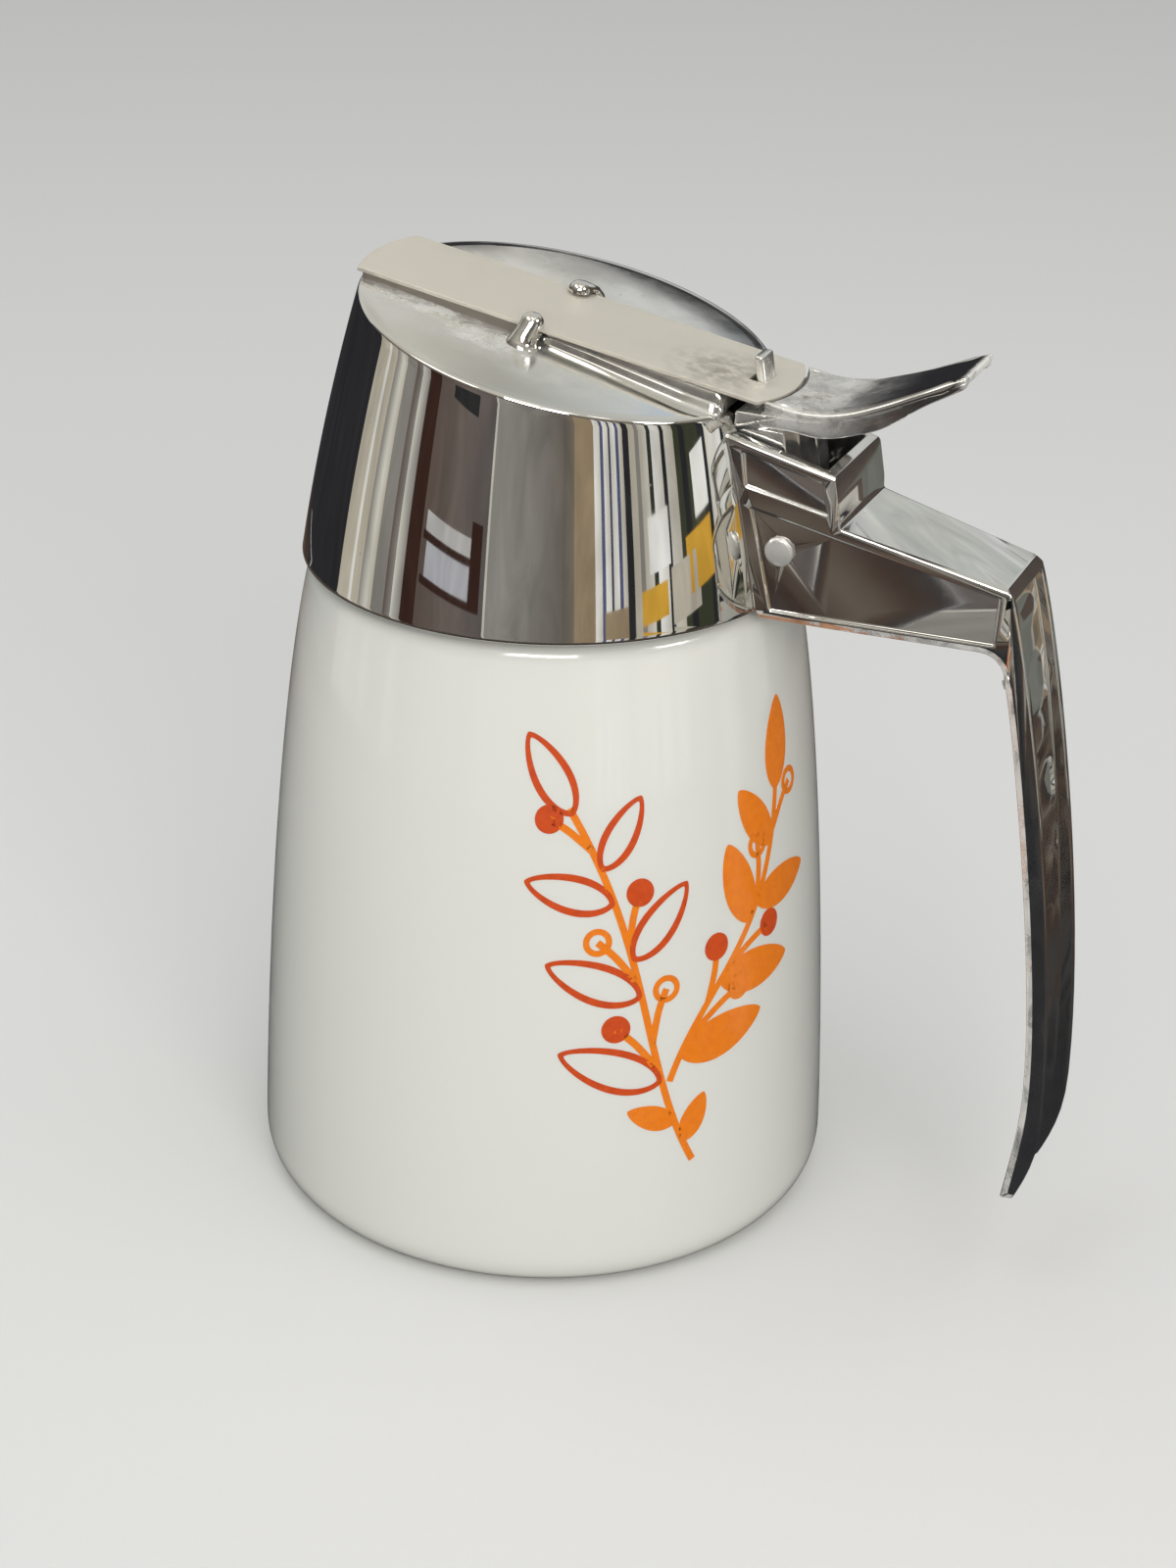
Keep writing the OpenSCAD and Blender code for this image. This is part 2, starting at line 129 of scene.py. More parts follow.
class Nodes:
    """Short calls for adding nodes to a tree. A node given as a value stands for its first output."""

    def __init__(self, tree):
        self.tree = tree

    def feed(self, socket, value):
        value = value.outputs[0] if isinstance(value, bpy.types.Node) else value
        if isinstance(value, bpy.types.NodeSocket):
            self.tree.links.new(value, socket)
        else:
            socket.default_value = value

    def node(self, kind, inputs=(), **settings):
        made = set_all(self.tree.nodes.new(kind), **settings)
        for key, value in dict(inputs).items():
            self.feed(made.inputs[key], value)
        return made

    def sums(self, operation, a, b=0.0):
        return self.node("ShaderNodeMath", {0: a, 1: b}, operation=operation)

    def plus(self, *values):
        return reduce(lambda a, b: self.sums("ADD", a, b), values)

    def minus(self, a, b):
        return self.sums("SUBTRACT", a, b)

    def times(self, *values):
        return reduce(lambda a, b: self.sums("MULTIPLY", a, b), values)

    def fit(self, value, low, high, to_low=0.0, to_high=1.0):
        return self.node("ShaderNodeMapRange", {
            "Value": value, "From Min": low, "From Max": high, "To Min": to_low, "To Max": to_high,
        })

    def vectors(self, operation, inputs):
        return self.node("ShaderNodeVectorMath", inputs, operation=operation)


class Finish(Nodes):
    """A material under construction. Its patterns are fixed to the object."""

    def __init__(self, name, colour, metallic, roughness, **sockets):
        self.material = bpy.data.materials.new(name)
        self.material.use_nodes = True
        super().__init__(self.material.node_tree)
        self.done(Base_Color=(*colour, 1), Metallic=metallic, Roughness=roughness, **sockets)
        self.place = self.node("ShaderNodeTexCoord").outputs["Object"]

    def done(self, **sockets):
        """Gives the shader's sockets their constants or nodes."""
        shader = self.tree.nodes["Principled BSDF"]
        for key, value in sockets.items():
            self.feed(shader.inputs[key.replace("_", " ")], value)
        return self.material

    def noise(self, scale, detail=3.0, rough=0.5, at=None, distortion=0.0):
        return self.node("ShaderNodeTexNoise", {
            "Vector": at or self.place, "Scale": scale, "Detail": detail,
            "Roughness": rough, "Distortion": distortion,
        })

    def mix(self, share, a, b):
        a, b = ((*value, 1) if isinstance(value, tuple) else value for value in (a, b))
        return self.node("ShaderNodeMix", {0: share, 6: a, 7: b}, data_type="RGBA").outputs[2]

    def painted(self, name):
        return self.node("ShaderNodeAttribute", attribute_name=name).outputs["Fac"]

    def bump(self, height, depth_mm, under=None):
        inputs = {"Height": height, "Strength": 1.0, "Distance": depth_mm * MM}
        if under is not None:
            inputs["Normal"] = under
        return self.node("ShaderNodeBump", inputs)


class Shaper(Nodes):
    """A geometry tree with named inputs. It is run once on a source object, and leaves a plain mesh."""

    def __init__(self, name, **inputs):
        super().__init__(bpy.data.node_groups.new(name, "GeometryNodeTree"))
        face = self.tree.interface
        face.new_socket("Geometry", in_out="INPUT", socket_type="NodeSocketGeometry")
        for label, value in inputs.items():
            kind = {int: "Int", float: "Float"}.get(type(value), "Object")
            socket = face.new_socket(label, in_out="INPUT", socket_type="NodeSocket" + kind)
            if kind != "Object":
                socket.default_value = value
        face.new_socket("Material", in_out="INPUT", socket_type="NodeSocketMaterial")
        face.new_socket("Geometry", in_out="OUTPUT", socket_type="NodeSocketGeometry")
        self.given = self.node("NodeGroupInput").outputs

    def geo(self, kind, inputs=(), **settings):
        return self.node("GeometryNode" + kind, inputs, **settings)

    def named(self, name):
        return self.geo("InputNamedAttribute", {"Name": name}, data_type="FLOAT")

    def split(self, vector):
        return self.node("ShaderNodeSeparateXYZ", {"Vector": vector}).outputs

    def vector(self, **parts):
        return self.node("ShaderNodeCombineXYZ", parts)

    def scaled(self, vector, size):
        return self.vectors("SCALE", {0: vector, "Scale": size})

    def moved(self, geometry, place):
        return self.geo("SetPosition", {"Geometry": geometry, "Position": place})

    def merged(self, geometry, apart_mm=0.002):
        return self.geo("MergeByDistance", {"Geometry": geometry, "Distance": apart_mm * MM})

    def sized_curve(self, spacing):
        """The source's path with points at an even spacing, and the path's own sizes as its radius."""
        path = self.geo("MeshToCurve", {"Mesh": self.given["Geometry"]})
        fine = self.geo("ResampleCurve", {"Curve": path, "Length": spacing}, mode="LENGTH")
        return self.geo("SetCurveRadius", {"Curve": fine, "Radius": self.named("size")})

    def close(self, geometry):
        solid = self.geo("RealizeInstances", {"Geometry": geometry})
        dressed = self.geo("SetMaterial", {"Geometry": solid, "Material": self.given["Material"]})
        self.node("NodeGroupOutput", {"Geometry": dressed})
        return self

    def run(self, source, name, material, **values):
        modifier = source.modifiers.new("shape", "NODES")
        modifier.node_group = self.tree
        values["Material"] = material
        for item in self.tree.interface.items_tree:
            if item.in_out == "INPUT" and item.name in values:
                modifier[item.identifier] = values[item.name]
        mesh = finished_mesh(source)
        bpy.data.objects.remove(source)
        return in_scene(name, mesh)


# Finishes

# The dark brown tone is used for dirt, and also for painted shadow under the blade
HAZE_TONE, COPPER_TONE, GRIME_AND_SHADE_TONE = (0.80, 0.79, 0.74), (0.62, 0.33, 0.20), (0.16, 0.13, 0.10)
DARK_DUST, PALE_DUST = (0.20, 0.18, 0.16), (0.75, 0.74, 0.70)
BLADE_SLOT_PLACE = (0.0245, -0.0025, 0.1235)


def opal_glass():
    f = Finish(
        "opal_glass", (0.80, 0.80, 0.75), 0.0, 0.14, Subsurface_Weight=0.12, Subsurface_Scale=0.004,
        Subsurface_Radius=(1.0, 0.9, 0.75), Coat_Weight=0.5, Coat_Roughness=0.03, IOR=1.5,
    )
    return f.done(
        Base_Color=f.mix(f.noise(28, 2), (0.79, 0.79, 0.735), (0.82, 0.82, 0.775)),
        Roughness=f.fit(f.noise(220, 3), 0.35, 0.7, 0.10, 0.20),
        Normal=f.bump(f.noise(45, 1), 0.05),
    )


def chrome(name, shade, pits):
    """Plated casting: a sharp mirror with a faint haze, dust and small pits.

    Painted marks say where it is hazed, where dirt sits, where a dark brown painted shadow sits, and where
    the plating is worn through to copper.
    """
    clear = (shade, shade, shade * 0.985)
    f = Finish(name, clear, 1.0, 0.03)
    edge = f.painted("edge")
    film = f.sums("MAXIMUM", f.painted("haze"), f.times(edge, 1.05))
    haze = f.times(film, f.fit(f.noise(340, 5, 0.6, distortion=0.6), 0.30, 0.60, 0.55, 1.0))
    # Dark brown marks: dirt in places, and painted shadow where a piece is marked dark all over
    grime_and_shade = f.fit(f.plus(f.painted("grime_and_shade"), f.noise(520, 4, 0.6)), 1.0, 1.18)
    copper = f.times(f.fit(f.plus(f.painted("wear"), f.noise(330, 4, 0.6)), 1.0, 1.06), edge)
    speck = f.fit(f.node("ShaderNodeTexVoronoi", {"Vector": f.place, "Scale": 420}), 0.10, 0.04)
    dirt = f.times(speck, f.fit(f.noise(90, 2), 0.5, 0.62), pits)
    metal = f.mix(f.fit(f.noise(70, 3), 0.4, 0.75), clear, (shade * 0.93, shade * 0.915, shade * 0.88))
    metal = f.mix(f.times(haze, 0.6), metal, HAZE_TONE)
    metal = f.mix(f.times(grime_and_shade, 0.8), f.mix(copper, metal, COPPER_TONE), GRIME_AND_SHADE_TONE)
    dust = f.mix(f.fit(f.noise(40, 2), 0.45, 0.55), DARK_DUST, PALE_DUST)
    worn = f.plus(f.times(grime_and_shade, 0.4), f.times(copper, 0.18))
    rough = f.fit(f.noise(150, 4), 0.35, 0.75, 0.012, 0.045)
    return f.done(
        Base_Color=f.mix(dirt, metal, dust),
        Roughness=f.plus(rough, f.times(dirt, 0.4), f.times(haze, 0.30), worn),
        Metallic=f.minus(1.0, f.times(haze, haze, 0.75)),
        Normal=f.bump(f.minus(0.0, f.plus(grime_and_shade, copper)), 0.02, under=f.bump(f.noise(120, 2), 0.003)),
    )


def blade_steel():
    """Satin stainless sheet, darker round the slot."""
    f = Finish("blade_steel", (0.62, 0.585, 0.51), 0.6, 0.48)
    drawn = f.node("ShaderNodeMapping", {"Vector": f.place, "Scale": (60, 2600, 600)})
    from_slot = f.vectors("DISTANCE", {0: f.place, 1: BLADE_SLOT_PLACE}).outputs["Value"]
    # Darker, browner mottling round the slot
    darker_round_slot = f.times(f.fit(from_slot, 0.0085, 0.0015), f.fit(f.noise(600, 4), 0.36, 0.62))
    base = f.mix(f.fit(f.noise(95, 4), 0.48, 0.8), (0.79, 0.755, 0.67), (0.745, 0.71, 0.63))
    return f.done(
        Base_Color=f.mix(f.times(darker_round_slot, 0.6), base, (0.26, 0.22, 0.17)),
        Roughness=f.fit(f.noise(1.0, 3, at=drawn), 0.3, 0.7, 0.44, 0.52),
        Normal=f.bump(f.noise(2500, 2), 0.002),
    )


def plain_steel(name, shade, rough, metallic=1.0):
    f = Finish(name, (shade, shade * 0.98, shade * 0.95), metallic, rough)
    return f.done(
        Base_Color=f.mix(f.noise(300, 3), (shade, shade, shade), (shade * 0.8, shade * 0.77, shade * 0.72)),
        Roughness=f.fit(f.noise(600, 3), 0.3, 0.7, rough * 0.8, rough * 1.3),
    )


def enamel(name, colour, darker):
    f = Finish(name, colour, 0.0, 0.22, Coat_Weight=0.3, Coat_Roughness=0.06)
    return f.done(
        Base_Color=f.mix(f.fit(f.noise(900, 3), 0.4, 0.75), colour, darker),
        Roughness=f.fit(f.noise(500, 3), 0.3, 0.7, 0.18, 0.30),
        Normal=f.bump(f.noise(1400, 2), 0.004),
    )


def gasket_rubber():
    f = Finish("gasket_rubber", (0.03, 0.03, 0.03), 0.0, 0.6)
    return f.done(
        Roughness=f.fit(f.noise(500, 3), 0.3, 0.7, 0.5, 0.75),
        Normal=f.bump(f.noise(900, 2), 0.02),
    )


# Studio

FLOOR_HALF = 3.0
FLOOR_TONE, SKY_TONE, LAMP_LIGHT = (0.80, 0.80, 0.79), (0.86, 0.87, 0.88, 1), (1.0, 0.985, 0.95)
SKY_LIGHT, SKY_SEEN = 0.55, 0.85


def make_floor():
    low, high = -FLOOR_HALF, FLOOR_HALF
    mesh = bpy.data.meshes.new("floor")
    mesh.from_pydata([(low, low, 0), (high, low, 0), (high, high, 0), (low, high, 0)], [], [(0, 1, 2, 3)])
    mesh.materials.append(Finish("pale_floor", FLOOR_TONE, 0.0, 0.6, Specular_IOR_Level=0.0).material)
    in_scene("floor", mesh)


def make_world():
    """Soft light from all round. Metal and glass see it brighter than it falls on the object."""
    world = bpy.data.worlds.new("studio")
    bpy.context.scene.world = world
    world.use_nodes = True
    n = Nodes(world.node_tree)
    ray = n.node("ShaderNodeLightPath").outputs
    seen = n.sums("MAXIMUM", ray["Is Camera Ray"], ray["Is Glossy Ray"])
    sky = n.tree.nodes["Background"].inputs
    n.feed(sky["Color"], SKY_TONE)
    n.feed(sky["Strength"], n.fit(seen, 0, 1, SKY_LIGHT, SKY_SEEN))


def soft_lamp(name, place, aim, size, power):
    data = set_all(bpy.data.lights.new(name, "AREA"), size=size, energy=power, color=LAMP_LIGHT)
    turn = (Vector(aim) - Vector(place)).to_track_quat("-Z", "Y").to_euler()
    set_all(in_scene(name, data), location=place, rotation_euler=turn, visible_glossy=False)


# Boards round the table, which only polished metal and glass see.
# A bearing is an angle round the table from the camera's side, in degrees, growing to the right.

BOARD_R, BOARD_LOW, BOARD_HIGH = 330, 1, 225
PANE_R, CEILING_R, UPPER_R = BOARD_R - 4, BOARD_R + 6, BOARD_R + 8
CHARCOAL, BROWN, TAUPE = (0.028, 0.028, 0.031), (0.045, 0.022, 0.017), (0.12, 0.09, 0.075)
GREY, BEIGE, PALE = (0.25, 0.235, 0.215), (0.50, 0.46, 0.38), (0.66, 0.64, 0.57)
TAN, WHITE, BLUE = (0.33, 0.25, 0.16), (0.85, 0.84, 0.80), (0.10, 0.11, 0.20)
AMBER, OLIVE, UMBER = (0.65, 0.36, 0.05), (0.05, 0.055, 0.035), (0.16, 0.13, 0.115)
LAMP_TONE = np.array((1, 0.97, 0.9))
# Where each board ends, and its tone, or its tones at its left and right
BOARDS_START = -212
BOARDS = [
    (-106, CHARCOAL), (-98, BEIGE), (-96, PALE, WHITE), (-91, BEIGE), (-86, GREY, PALE), (-83, PALE, BEIGE),
    (-76, GREY), (-72, TAUPE, GREY), (-67, PALE, GREY), (-60, BROWN), (-46, TAUPE, UMBER),
    (-29, UMBER, (0.13, 0.115, 0.11)), (-28, PALE), (-12, (0.33, 0.31, 0.285), GREY),
    (4, GREY, (0.17, 0.15, 0.13)), (9, (0.15, 0.135, 0.12), (0.20, 0.17, 0.13)), (18, TAN),
    (21, WHITE, PALE), (22.5, BLUE), (25, WHITE, PALE), (26, CHARCOAL, BLUE), (28.5, PALE, WHITE),
    (30, BLUE), (32, PALE, BEIGE), (35, CHARCOAL), (38, BEIGE), (40, GREY), (44, BEIGE, PALE),
    (46, OLIVE, CHARCOAL), (51, WHITE, PALE),
    (53, CHARCOAL), (58, PALE, BEIGE), (61, OLIVE), (64, CHARCOAL), (72, OLIVE), (76, CHARCOAL),
    (86, PALE, WHITE), (92, CHARCOAL), (104, GREY, PALE), (148, TAUPE, CHARCOAL),
]
# Panes stand in front of the boards: two bearings, two heights and a tone
PANES = [
    (108, 147, 1, 46, (0.17, 0.175, 0.155)), (-59, -33, 71, 75, BROWN), (-59, -33, 91, 95, BROWN),
    (-57, -36, 75, 91, (0.45, 0.45, 0.48)), (-36, -31, 71, 112, BROWN),
    (-58, -36, 95, 104, (0.50, 0.49, 0.48)), (-52, -38, 158, 178, (0.03, 0.03, 0.03)),
    (42, 52, 86, 112, WHITE), (38, 50, 64, 80, AMBER), (52, 66, 58, 84, BEIGE), (60, 74, 66, 92, AMBER),
    (22, 32, 60, 76, TAN), (66, 74, 96, 124, WHITE),
    (-22, 13, 330, 430, (13.0, 12.7, 12.0)), (55, 73, 330, 430, (13.0, 12.7, 12.0)),
]
# The boards behind the object: their tones by height, and the height of their top edge at each bearing
BACK_LEVELS = (
    (1, CHARCOAL), (178, CHARCOAL), (190, (0.55, 0.55, 0.53)), (240, (0.66, 0.66, 0.64)), (247, CHARCOAL),
)
BACK_TOPS = [
    (148, 247), (159, 247), (161.5, 264), (163.4, 266.0), (164.5, 265), (165.7, 264), (168.1, 263.6),
    (169.4, 263.6), (170.4, 263.8), (171.7, 264.2), (173, 264.8), (174.3, 266.5), (175, 270), (175.6, 271.8),
    (176.6, 274.6), (177.6, 276.6), (178.4, 276), (180, 262), (186, 252), (212, 250),
]
# The ceiling's tones at each bearing, one for each of the first four heights and one for the four above
CEILING_HEIGHTS = (225, 262, 290, 297, 306, 330, 400, 520)
SIDE_LOW, SIDE_HIGH, SIDE_TOP = (0.62, 0.63, 0.62), (0.70, 0.70, 0.67), (0.60, 0.60, 0.56)
MID_LOW, MID_HIGH, MID_TOP = (0.66, 0.67, 0.66), (0.74, 0.74, 0.69), (0.66, 0.64, 0.58)
CEILING = [
    (120, SIDE_LOW, SIDE_LOW, SIDE_HIGH, SIDE_HIGH, SIDE_TOP),
    (158, MID_LOW, MID_LOW, (0.72, 0.72, 0.69), (0.72, 0.72, 0.69), (0.58, 0.60, 0.58)),
    (164, MID_LOW, (0.74, 0.74, 0.71), (0.60, 0.70, 0.82), (0.58, 0.68, 0.80), (0.60, 0.60, 0.56)),
    (167, MID_LOW, (0.75, 0.75, 0.72), (0.62, 0.66, 0.68), (0.60, 0.66, 0.70), (0.58, 0.58, 0.54)),
    (169.5, MID_LOW, (0.76, 0.75, 0.73), (0.56, 0.59, 0.56), (0.54, 0.57, 0.55), (0.54, 0.55, 0.52)),
    (173, MID_LOW, (0.76, 0.75, 0.73), (0.60, 0.59, 0.52), (0.52, 0.52, 0.45), (0.50, 0.49, 0.44)),
    (175.5, MID_LOW, (0.77, 0.76, 0.72), (0.66, 0.65, 0.58), (0.62, 0.61, 0.54), (0.58, 0.56, 0.50)),
    (178, MID_LOW, (0.77, 0.76, 0.72), MID_HIGH, MID_HIGH, MID_TOP),
    (190, MID_LOW, MID_LOW, MID_HIGH, MID_HIGH, MID_TOP),
    (240, SIDE_LOW, SIDE_LOW, SIDE_HIGH, SIDE_HIGH, SIDE_TOP),
]
UPPER = (
    (225, (0.10, 0.085, 0.075)), (300, (0.19, 0.165, 0.14)), (420, (0.34, 0.31, 0.265)),
    (545, (0.56, 0.53, 0.46)),
)
# Overhead and lamp panes: two radii, two bearings, and a tone or a level
OVERHEAD_Z, LAMP_PANE_Z = 540, 535
OVERHEAD = [
    (0, 60, -180, 180, (0.62, 0.60, 0.54)), (60, 345, -180, -60, (0.62, 0.585, 0.50)),
    (60, 345, -60, 60, (0.66, 0.63, 0.55)), (60, 345, 60, 180, (0.60, 0.59, 0.55)),
]
LAMP_PANES = [
    (90, 150, -20, 25, 3.0), (250, 300, 10, 26, 3.0), (200, 330, -100, -72, 4.0), (200, 330, -70, -42, 4.0),
    (175, 235, 14, 38, 3.0), (175, 235, 58, 70, 3.0),
]
TABLE_Z = 0.3
TABLE_RINGS = [
    (0, CHARCOAL), (100, CHARCOAL), (140, (0.05, 0.048, 0.046)), (190, (0.055, 0.034, 0.026)),
    (225, (0.09, 0.07, 0.055)), (250, (0.15, 0.125, 0.10)), (285, (0.075, 0.05, 0.038)), (BOARD_R, CHARCOAL),
]


def pairs(items):
    return zip(items, items[1:])


def bearing_point(bearing, radius, height):
    b = radians(bearing)
    x = cos(b) * sin(CAMERA_AZIMUTH) + sin(b) * cos(CAMERA_AZIMUTH)
    y = -cos(b) * cos(CAMERA_AZIMUTH) + sin(b) * sin(CAMERA_AZIMUTH)
    return radius * x * MM, radius * y * MM, height * MM


class Boards:
    """Panels with a tone at each corner."""

    def __init__(self):
        self.points, self.faces, self.tones = [], [], []

    def panel(self, corners, tones):
        self.faces.append(tuple(range(len(self.points), len(self.points) + 4)))
        self.points += [bearing_point(*corner) for corner in corners]
        self.tones += [(*tone, 1) for tone in tones]

    def wall(self, start, end, radius, heights, left, right, steps=0):
        """Upright panels between two bearings, with a tone for each height at either end."""
        steps = steps or max(1, int((end - start) / 3))
        left, right = np.array(left), np.array(right)
        for i in range(steps):
            shares = (i / steps, (i + 1) / steps)
            a, b = (start + (end - start) * t for t in shares)
            one, two = (left * (1 - t) + right * t for t in shares)
            for j, (low, high) in enumerate(pairs(heights)):
                corners = [(a, radius, low), (b, radius, low), (b, radius, high), (a, radius, high)]
                self.panel(corners, [one[j], two[j], two[j + 1], one[j + 1]])

    def ring(self, inner, outer, start, end, height, near, far, steps=1):
        """Level panels between two radii and two bearings."""
        for a, b in pairs(np.linspace(start, end, steps + 1)):
            corners = [(a, inner, height), (b, inner, height), (b, outer, height), (a, outer, height)]
            self.panel(corners, [near, near, far, far])


def boards_material():
    material = bpy.data.materials.new("reflection_boards")
    material.use_nodes = True
    n = Nodes(material.node_tree)
    n.tree.nodes.remove(n.tree.nodes["Principled BSDF"])
    place = n.node("ShaderNodeTexCoord").outputs["Object"]
    cloud = n.node("ShaderNodeTexNoise", {"Vector": place, "Scale": 16, "Detail": 4, "Distortion": 1.2})
    tone = n.node("ShaderNodeAttribute", attribute_name="tone")
    glow = n.node("ShaderNodeEmission", {"Color": tone, "Strength": n.fit(cloud, 0.3, 0.7, 0.80, 1.12)})
    n.feed(n.tree.nodes["Material Output"].inputs["Surface"], glow)
    material.cycles.emission_sampling = "NONE"
    return material


def make_boards():
    boards = Boards()
    start = BOARDS_START
    for end, *tones in BOARDS:
        boards.wall(start, end, BOARD_R, (BOARD_LOW, BOARD_HIGH), [tones[0]] * 2, [tones[-1]] * 2)
        start = end
    for start, end, low, high, tone in PANES:
        boards.wall(start, end, PANE_R, (low, high), [tone] * 2, [tone] * 2)
    heights, tones = zip(*BACK_LEVELS)
    for (a, top_a), (b, top_b) in pairs(BACK_TOPS):
        boards.wall(a, b, BOARD_R, heights, tones, tones, steps=1)
        base = heights[-1]
        if min(top_a, top_b) > base:
            corners = [(a, BOARD_R, base), (b, BOARD_R, base), (b, BOARD_R, top_b), (a, BOARD_R, top_a)]
            boards.panel(corners, [CHARCOAL] * 4)
    for (start, *first), (end, *second) in pairs(CEILING):
        first, second = (tones + [tones[-1]] * 3 for tones in (first, second))
        boards.wall(start, end, CEILING_R, CEILING_HEIGHTS, first, second)
    heights, tones = zip(*UPPER)
    boards.wall(-180, 120, UPPER_R, heights, tones, tones, steps=30)
    for (inner, near), (outer, far) in pairs(TABLE_RINGS):
        boards.ring(inner, outer, 0, 360, TABLE_Z, near, far, steps=72)
    for inner, outer, start, end, tone in OVERHEAD:
        boards.ring(inner, outer, start, end, OVERHEAD_Z, tone, tone, steps=int((end - start) / 10))
    for inner, outer, start, end, level in LAMP_PANES:
        boards.ring(inner, outer, start, end, LAMP_PANE_Z, level * LAMP_TONE, level * LAMP_TONE)
    mesh = bpy.data.meshes.new("reflection_boards")
    mesh.from_pydata(boards.points, [], boards.faces)
    tone = mesh.color_attributes.new("tone", "FLOAT_COLOR", "POINT")
    tone.data.foreach_set("color", np.array(boards.tones, np.float32).ravel())
    mesh.materials.append(boards_material())
    shown = in_scene("reflection_boards", mesh)
    for ray in ("camera", "diffuse", "transmission", "shadow", "volume_scatter"):
        setattr(shown, "visible_" + ray, False)


# Mesh helpers. Points are in millimetres

MERGE_MM, SCRAP_MM, SHORT_MM, SCRAP_FACES = 0.002, 0.003, 0.08, 12
SIDEWAYS, SHARP_EDGE, FLAT_ANGLE = 0.9, radians(40), 0.4


def add_object(name, points, faces=(), edges=()):
    mesh = bpy.data.meshes.new(name)
    mesh.from_pydata([(x * MM, y * MM, z * MM) for x, y, z in points], edges, faces)
    return in_scene(name, mesh)


def chain(count, first=0):
    """Edges that join a run of points into a path."""
    return [(first + i, first + i + 1) for i in range(count - 1)]


def bezier(p, count):
    p = np.array(p, float)
    t = np.linspace(0, 1, count + 1)[:, None]
    return (1 - t) ** 3 * p[0] + 3 * t * (1 - t) ** 2 * p[1] + 3 * t * t * (1 - t) * p[2] + t ** 3 * p[3]


def arc(centre, radii, start, end, count):
    a = np.radians(np.linspace(start, end, count + 1))
    return np.stack([centre[0] + radii[0] * np.cos(a), centre[1] + radii[1] * np.sin(a)], 1)


@contextmanager
def edited(piece):
    """Opens a piece's mesh for editing, and writes it back."""
    shape = bmesh.new()
    shape.from_mesh(piece.data)
    yield shape
    shape.to_mesh(piece.data)
    shape.free()


def clean(piece, flat_angle=None):
    """Merges doubles, merges faces that lie within an angle in degrees, and points the faces outwards."""
    with edited(piece) as shape:
        bmesh.ops.remove_doubles(shape, verts=shape.verts, dist=MERGE_MM * MM)
        if flat_angle:
            limit = radians(flat_angle)
            bmesh.ops.dissolve_limit(shape, angle_limit=limit, verts=shape.verts, edges=shape.edges)
        bmesh.ops.recalc_face_normals(shape, faces=shape.faces)
    return piece


def loft(name, rings):
    """A closed skin through rings of equal count, with its two ends capped."""
    rings = np.array(rings, float)
    n, m = rings.shape[:2]
    faces = [
        (i * m + j, i * m + (j + 1) % m, (i + 1) * m + (j + 1) % m, (i + 1) * m + j)
        for i in range(n - 1) for j in range(m)
    ]
    faces += [tuple(range(m))[::-1], tuple(range((n - 1) * m, n * m))]
    return clean(add_object(name, rings.reshape(-1, 3), faces))


def prism(name, outline, low, high, upright=False):
    """An outline in x and y raised between two heights, or one in x and z between two values of y."""
    rings = [[(x, h, v) if upright else (x, v, h) for x, v in outline] for h in (low, high)]
    return loft(name, rings)


def finished_mesh(piece):
    """A piece's mesh as its modifiers leave it."""
    bpy.context.view_layer.update()
    return bpy.data.meshes.new_from_object(piece.evaluated_get(bpy.context.evaluated_depsgraph_get()))


def reshaped(piece, *changes):
    """Adds modifiers, each a kind and its settings, and turns them into plain mesh."""
    for kind, settings in changes:
        set_all(piece.modifiers.new(kind, kind), **settings)
    mesh = finished_mesh(piece)
    piece.modifiers.clear()
    piece.data = mesh
    return piece


def combine(piece, other, operation="DIFFERENCE"):
    reshaped(piece, ("BOOLEAN", {"operation": operation, "solver": "EXACT", "object": other}))
    bpy.data.objects.remove(other)
    return piece


def joined(name, pieces):
    """One object from several, each a closed shell."""
    shape = bmesh.new()
    for piece in pieces:
        shape.from_mesh(piece.data)
        bpy.data.objects.remove(piece)
    mesh = bpy.data.meshes.new(name)
    shape.to_mesh(mesh)
    shape.free()
    return in_scene(name, mesh)


def smooth(piece, sharp=35):
    piece.data.shade_smooth()
    piece.data.set_sharp_from_angle(angle=radians(sharp))
    return piece


def ease(piece, width, angle=32, segments=3):
    """Rounds the edges of a piece."""
    with edited(piece) as shape:
        bmesh.ops.dissolve_degenerate(shape, dist=SHORT_MM * MM, edges=shape.edges)
    piece.data.shade_smooth()
    return reshaped(piece, ("BEVEL", {
        "width": width * MM, "segments": segments, "limit_method": "ANGLE", "angle_limit": radians(angle),
        "miter_outer": "MITER_ARC", "use_clamp_overlap": False,
    }), ("WEIGHTED_NORMAL", {"weight": 50, "keep_sharp": True}))


def cut_flats(piece, width, chosen, shallow=0.0):
    """Cuts a flat along the edges whose two faces' normals, and whose middle in millimetres, pass a test.

    Shallow takes that much off the flat's depth into the side.
    """
    with edited(piece) as shape:
        shape.normal_update()
        edges = []
        for edge in shape.edges:
            if len(edge.link_faces) == 2 and edge.calc_face_angle() > SHARP_EDGE:
                one, two = (face.normal for face in edge.link_faces)
                middle = (edge.verts[0].co + edge.verts[1].co) / 2 / MM
                if chosen(one, two, middle) or chosen(two, one, middle):
                    edges.append(edge)
        made = bmesh.ops.bevel(
            shape, geom=edges, offset=width * MM, segments=1, profile=0.5, affect="EDGES",
            clamp_overlap=False, miter_outer="ARC", loop_slide=True,
        )
        if shallow:
            for v in {v for face in made["faces"] for v in face.verts}:
                if not any(abs(beside.normal.y) > SIDEWAYS for beside in v.link_faces):
                    v.co.y += shallow * MM * (1 if v.co.y > 0 else -1)
    return clean(piece)


